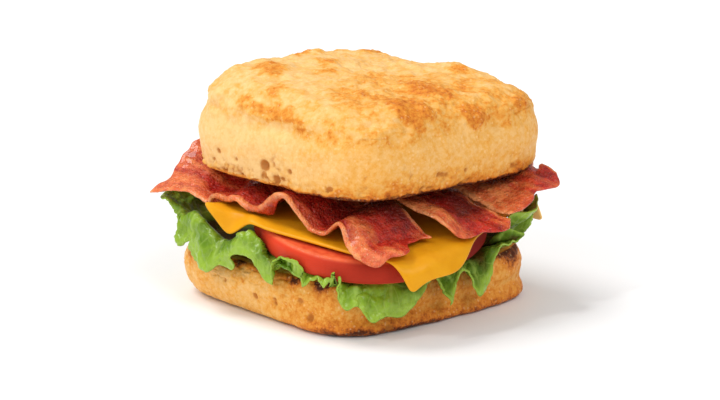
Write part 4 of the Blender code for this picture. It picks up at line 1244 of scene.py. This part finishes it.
# Share of the width, then the distance along the strip where it starts and ends
FRONT_ENDS = (
    (0.0, 0.0, 104.0), (0.1, 1.0, 110.0), (0.22, 4.0, 115.0), (0.42, 3.0, 118.5),
    (0.7, 1.0, 113.5), (1.0, 2.0, 117.0),
)
MIDDLE_ENDS = (
    (0.0, 7.0, 118.0), (0.2, 5.0, 124.0), (0.5, 9.0, 125.5), (0.8, 8.0, 132.0),
    (1.0, 11.0, 129.0),
)
BACK_ENDS = (
    (0.0, 14.0, 125.0), (0.2, 12.0, 130.5), (0.5, 15.0, 127.5), (0.8, 13.0, 130.8),
    (1.0, 17.0, 124.5),
)
# Where a near edge is folded under: distance along the strip, half length and depth of the fold
FRONT_FOLDS = ((43.4, 6.0, 4.0), (66.5, 8.5, 9.0))
# Where a strip is fatter or leaner: distance along and across it, radius and added fat
FRONT_PATCHES = (
    (6.0, 12.0, 20.0, 0.45), (21.0, 20.0, 6.0, 0.3), (24.3, 10.5, 3.5, -0.9),
    (43.0, 10.0, 8.0, -0.3), (56.0, 10.0, 10.0, -0.1), (80.0, 12.0, 14.0, -0.3),
    (101.5, 6.0, 6.5, 0.5), (108.5, 10.5, 2.0, -0.8), (113.5, 7.5, 4.0, 0.5),
    (106.0, 21.0, 7.0, -0.7),
)
MIDDLE_PATCHES = (
    (10.0, 14.0, 25.0, 0.3), (102.0, 0.5, 3.0, 0.9), (107.0, 2.0, 3.0, 0.9),
    (112.0, 3.5, 3.0, 0.9), (117.0, 6.0, 3.0, 0.9), (112.0, 12.0, 7.0, -0.4),
    (120.0, 18.0, 10.0, -0.6), (124.0, 3.0, 3.0, 0.4),
)
BACK_PATCHES = (
    (12.0, 14.0, 25.0, 0.3), (113.0, 9.0, 11.0, 0.75), (121.0, 17.0, 3.0, 0.3),
    (122.0, 27.0, 7.0, -0.6),
)
# Painted shade between folds and near the roll: distance along and across it, radius and strength
FRONT_SHADE = (
    (44.0, 12.0, 5.0, 0.5), (60.0, 20.0, 5.0, 0.5), (77.0, 21.0, 5.0, 0.5),
    (91.0, 17.0, 6.0, 0.8), (100.0, 24.0, 7.0, 0.9),
)
MIDDLE_SHADE = ((112.0, 20.0, 7.0, 0.6), (118.0, 13.0, 5.0, 0.4))
BACK_SHADE = ((123.0, 27.0, 5.0, 0.2),)
# Where a strip swells or is dented: distance along and across it, radius and rise
FRONT_BUMPS = (
    (16.0, 14.0, 6.0, 1.0), (24.3, 10.5, 3.5, -1.5), (101.5, 5.5, 5.5, 1.8),
    (108.5, 10.5, 2.2, -1.6), (113.5, 7.5, 3.5, 1.2),
)
MIDDLE_BUMPS = (
    (106.0, 2.5, 4.0, 0.8), (114.0, 4.5, 4.0, 1.0), (112.0, 12.0, 4.0, -1.2), (122.0, 14.0, 4.0, 0.8),
)
BACK_BUMPS = ((112.0, 8.0, 5.0, 0.8), (117.0, 15.0, 2.5, -1.0), (122.0, 20.0, 3.0, 0.8))
# Near edge across the strips, where it swells and how far, the same for the far edge, width,
# waves, ends, folds, bumps and the seed of the noise
BACON_SHAPES = {
    "bacon_front": (
        -1.2, (111.0, 4.2), (0.0, 0.0), 26.8, FRONT_WAVES, FRONT_ENDS, FRONT_FOLDS, FRONT_BUMPS, 151),
    "bacon_middle": (
        27.9, (96.0, 0.4), (0.0, 0.0), 28.0, MIDDLE_WAVES, MIDDLE_ENDS, (), MIDDLE_BUMPS, 171),
    "bacon_back": (
        58.2, (40.0, 0.0), (102.0, 13.0), 31.6, BACK_WAVES, BACK_ENDS, (), BACK_BUMPS, 191),
}
# Fat patches of each strip, its spots of painted shade, and how strong the painted shade next to the
# roll is
BACON_COLOURING = {
    "bacon_front": (FRONT_PATCHES, FRONT_SHADE, 0.3),
    "bacon_middle": (MIDDLE_PATCHES, MIDDLE_SHADE, 0.5),
    "bacon_back": (BACK_PATCHES, BACK_SHADE, 0.0),
}


# %% What the bacon lies on
def resting_height(x, y, points, distance):
    """Lowest height that keeps a distance to every point: the top of the ball round each."""
    nearest = np.zeros(x.size)
    flat_x, flat_y = x.ravel(), y.ravel()
    for start in range(0, x.size, POINTS_AT_ONCE):
        part = slice(start, start + POINTS_AT_ONCE)
        aside = np.hypot(flat_x[part, None] - points[:, 0], flat_y[part, None] - points[:, 1])
        lift = np.sqrt(np.maximum(distance**2 - aside**2, 0.0))
        nearest[part] = np.where(aside < distance, points[:, 2] + lift, 0.0).max(axis=-1)
    return nearest.reshape(x.shape)


def under_bacon():
    """Points of the cheese's middle layer and the tomato's upper edge, with the distance to keep."""
    to_middle = BACON_THICKNESS / 2 + BACON_CLEARANCE + BACON_MARGIN
    right, left = np.meshgrid(*(np.linspace(0, side, CHEESE_POINTS) for side in CHEESE_SIDES))
    cheese = draped(*slice_point(right, left)).reshape(-1, 3)
    bearing = np.linspace(0, 2 * np.pi, TOMATO_POINTS)
    share, bulge = TOMATO_EDGE[2:, :1], TOMATO_EDGE[2:, 1:]
    x, y = polar(TOMATO_CENTRE, tomato_radius(bearing) + bulge, bearing)
    z = TOMATO_UNDERSIDE + share * TOMATO_THICKNESS + tomato_lean(x, y)
    tomato = np.stack((x, y, z), axis=-1).reshape(-1, 3)
    return ((cheese, to_middle + CHEESE_THICKNESS / 2), (tomato, to_middle))


UNDER_BACON = under_bacon()
print("points under the bacon:", [len(points) for points, _ in UNDER_BACON])


# %% The bacon strips
def softened(points, times):
    """Each inner row becomes a quarter of both neighbours and half of itself, which rounds a fold."""
    for _ in range(times):
        points[1:-1] = (points[:-2] + 2 * points[1:-1] + points[2:]) / 4
    return points


def spots(along, way, places):
    """Bumps on a strip added up: each has its distance along and across, a radius and a strength."""
    return sum(more * bell(along, at, size) * bell(way, off, size) for at, off, size, more in places)


def strip_surface(near_line, near_swell, far_swell, width, waves, ends, folds, bumps, seed):
    """A ribbon laid along the strip's heading. Its height follows a parabola through near edge,
    middle and far edge, and a fold goes on under the near edge."""
    along_share = crowded(1.0, BACON_STEPS[0], BACON_THICKNESS / 2 / STRIP_LENGTH)
    row_share = crowded(width, BACON_STEPS[1], BACON_THICKNESS / 2)[:, None] / width
    length = STRIP_LENGTH * along_share
    fold = sum((depth * bell(length, at, half) for at, half, depth in folds), 0 * length)
    way = row_share * (width + fold) - fold
    u, under = np.clip(way / width, 0, 1), np.clip(-way, 0, None)
    ends = np.array(ends)
    starts, stops = np.moveaxis(through(ends[:, 0], ends[:, 1:], u), -1, 0)
    edge = np.stack((u * width, 0 * u, 0 * u), axis=-1)
    starts = starts + 1.2 * layered(edge, 4.0, seed + 21)
    stops = stops + 1.2 * layered(edge, 4.0, seed + 23)
    along = starts + along_share * (stops - starts)
    lengths = np.stack((along, 0 * along, 0 * along), axis=-1)
    ragged = 0.7 * layered(lengths, 6.0, seed + 25) + 0.35 * layered(lengths, 1.8, seed + 26)
    across = near_line + width * u + ragged * (1 - 2 * u)
    for (at, reach), share in ((near_swell, u - 1), (far_swell, u)):
        across = across + share * reach * bell(along, at, BACON_SWELL_LENGTH)
    x, y = laid(BACON_START, BACON_HEADING, along, across + 0.4 * under)
    waves = np.array(waves)
    near, middle, far = np.moveaxis(through(waves[:, 0], waves[:, 1:], along), -1, 0)
    height = near * (1 - u) * (1 - 2 * u) + middle * 4 * u * (1 - u) + far * u * (2 * u - 1)
    flat = np.stack((x, y, 0 * x), axis=-1)
    height = height + 0.5 * layered(flat, 8.0, seed + 27) + 0.4 * layered(flat, 3.6, seed + 29)
    height = height - 0.92 * under + spots(along, way, bumps)
    for points, distance in UNDER_BACON:
        height = np.maximum(height, resting_height(x, y, points, distance))
    ceiling = TOP_UNDERSIDE - BACON_CLEARANCE - BACON_THICKNESS / 2
    aside, back = x - TOP_CENTRE[0], y - TOP_CENTRE[1]
    outside = np.hypot(aside, back) - roll_radius(np.arctan2(back, aside), TOP_HALF_SIDE)
    height = np.where(outside < BACON_UNDER_ROLL, np.minimum(height, ceiling), height)
    middle = softened(np.stack((x, y, height), axis=-1), 4)
    return middle, along, way, along_share, outside


def make_strip(node, patches, shade_spots, roll_shade):
    """The ribbon with a thin rim, bands of lean and fat along it, a fried, uneven skin, and painted
    shade.
    """
    shape = BACON_SHAPES[node]
    width, seed = shape[3], shape[-1]
    middle, along, way, along_share, outside = strip_surface(*shape)
    lane = np.stack((along / 7.0, way, 0 * way), axis=-1)
    streak = layered(lane, 2.2, seed)
    strayed = (way + 2.5 * layered(lane, 14.0, seed + 4)) * 2 * np.pi
    bands = 0.6 * np.cos(strayed / 27.0) + 0.5 * np.cos(strayed / 8.0)
    fat = 0.22 + 0.36 * bands + 0.6 * streak + spots(along, way, patches)
    edge_noise = 0.5 * layered(lane, 3.0, seed + 6)
    near_rim = 1.1 + 0.4 * layered(lane, 2.0, seed + 8)
    near_rim = near_rim * step(1.6, 0.9, np.abs(way - 0.3) + edge_noise)
    far_rim = 0.9 * step(2.0, 1.0, width - way + edge_noise)
    fat = np.clip(np.maximum(np.clip(fat, 0, 1), np.maximum(near_rim, far_rim)), 0, 1.4)
    char_and_shade = 0.35 * step(0.1, 0.7, layered(middle, 6.0, seed + 9)) * (1 - np.minimum(fat, 1))
    # Painted shade: darker next to the roll, at the spots between folds, and on the part folded under
    shaded = step(6.0, 1.0, outside) * step(25.0, 45.0, along)
    char_and_shade = char_and_shade + spots(along, way, shade_spots)
    char_and_shade = np.maximum(char_and_shade + roll_shade * shaded * (1 - 0.5 * fat), 0.25 * step(-1.5, -3.0, way))
    inside = np.minimum(way - way[0], width - way)
    inside = np.minimum(inside, np.minimum(along_share, 1 - along_share) * STRIP_LENGTH)
    uneven = 0.4 * layered(middle, 2.4, seed + 13) + 0.35 * layered(lane, 3.0, seed + 15)
    uneven = uneven + 0.3 * np.minimum(fat, 1)
    thicker = 0.55 + 0.4 * step(0.0, 4.0, inside)
    thickness = (thicker * BACON_THICKNESS + uneven) * rounded_rim(inside, BACON_THICKNESS / 2)
    values = {"fat": fat, "char_and_shade": np.clip(char_and_shade, 0, 1)}
    sheet_piece(node.replace("bacon", "strip"), middle, thickness, values, BACON, node)


for node, colouring in BACON_COLOURING.items():
    make_strip(node, *colouring)
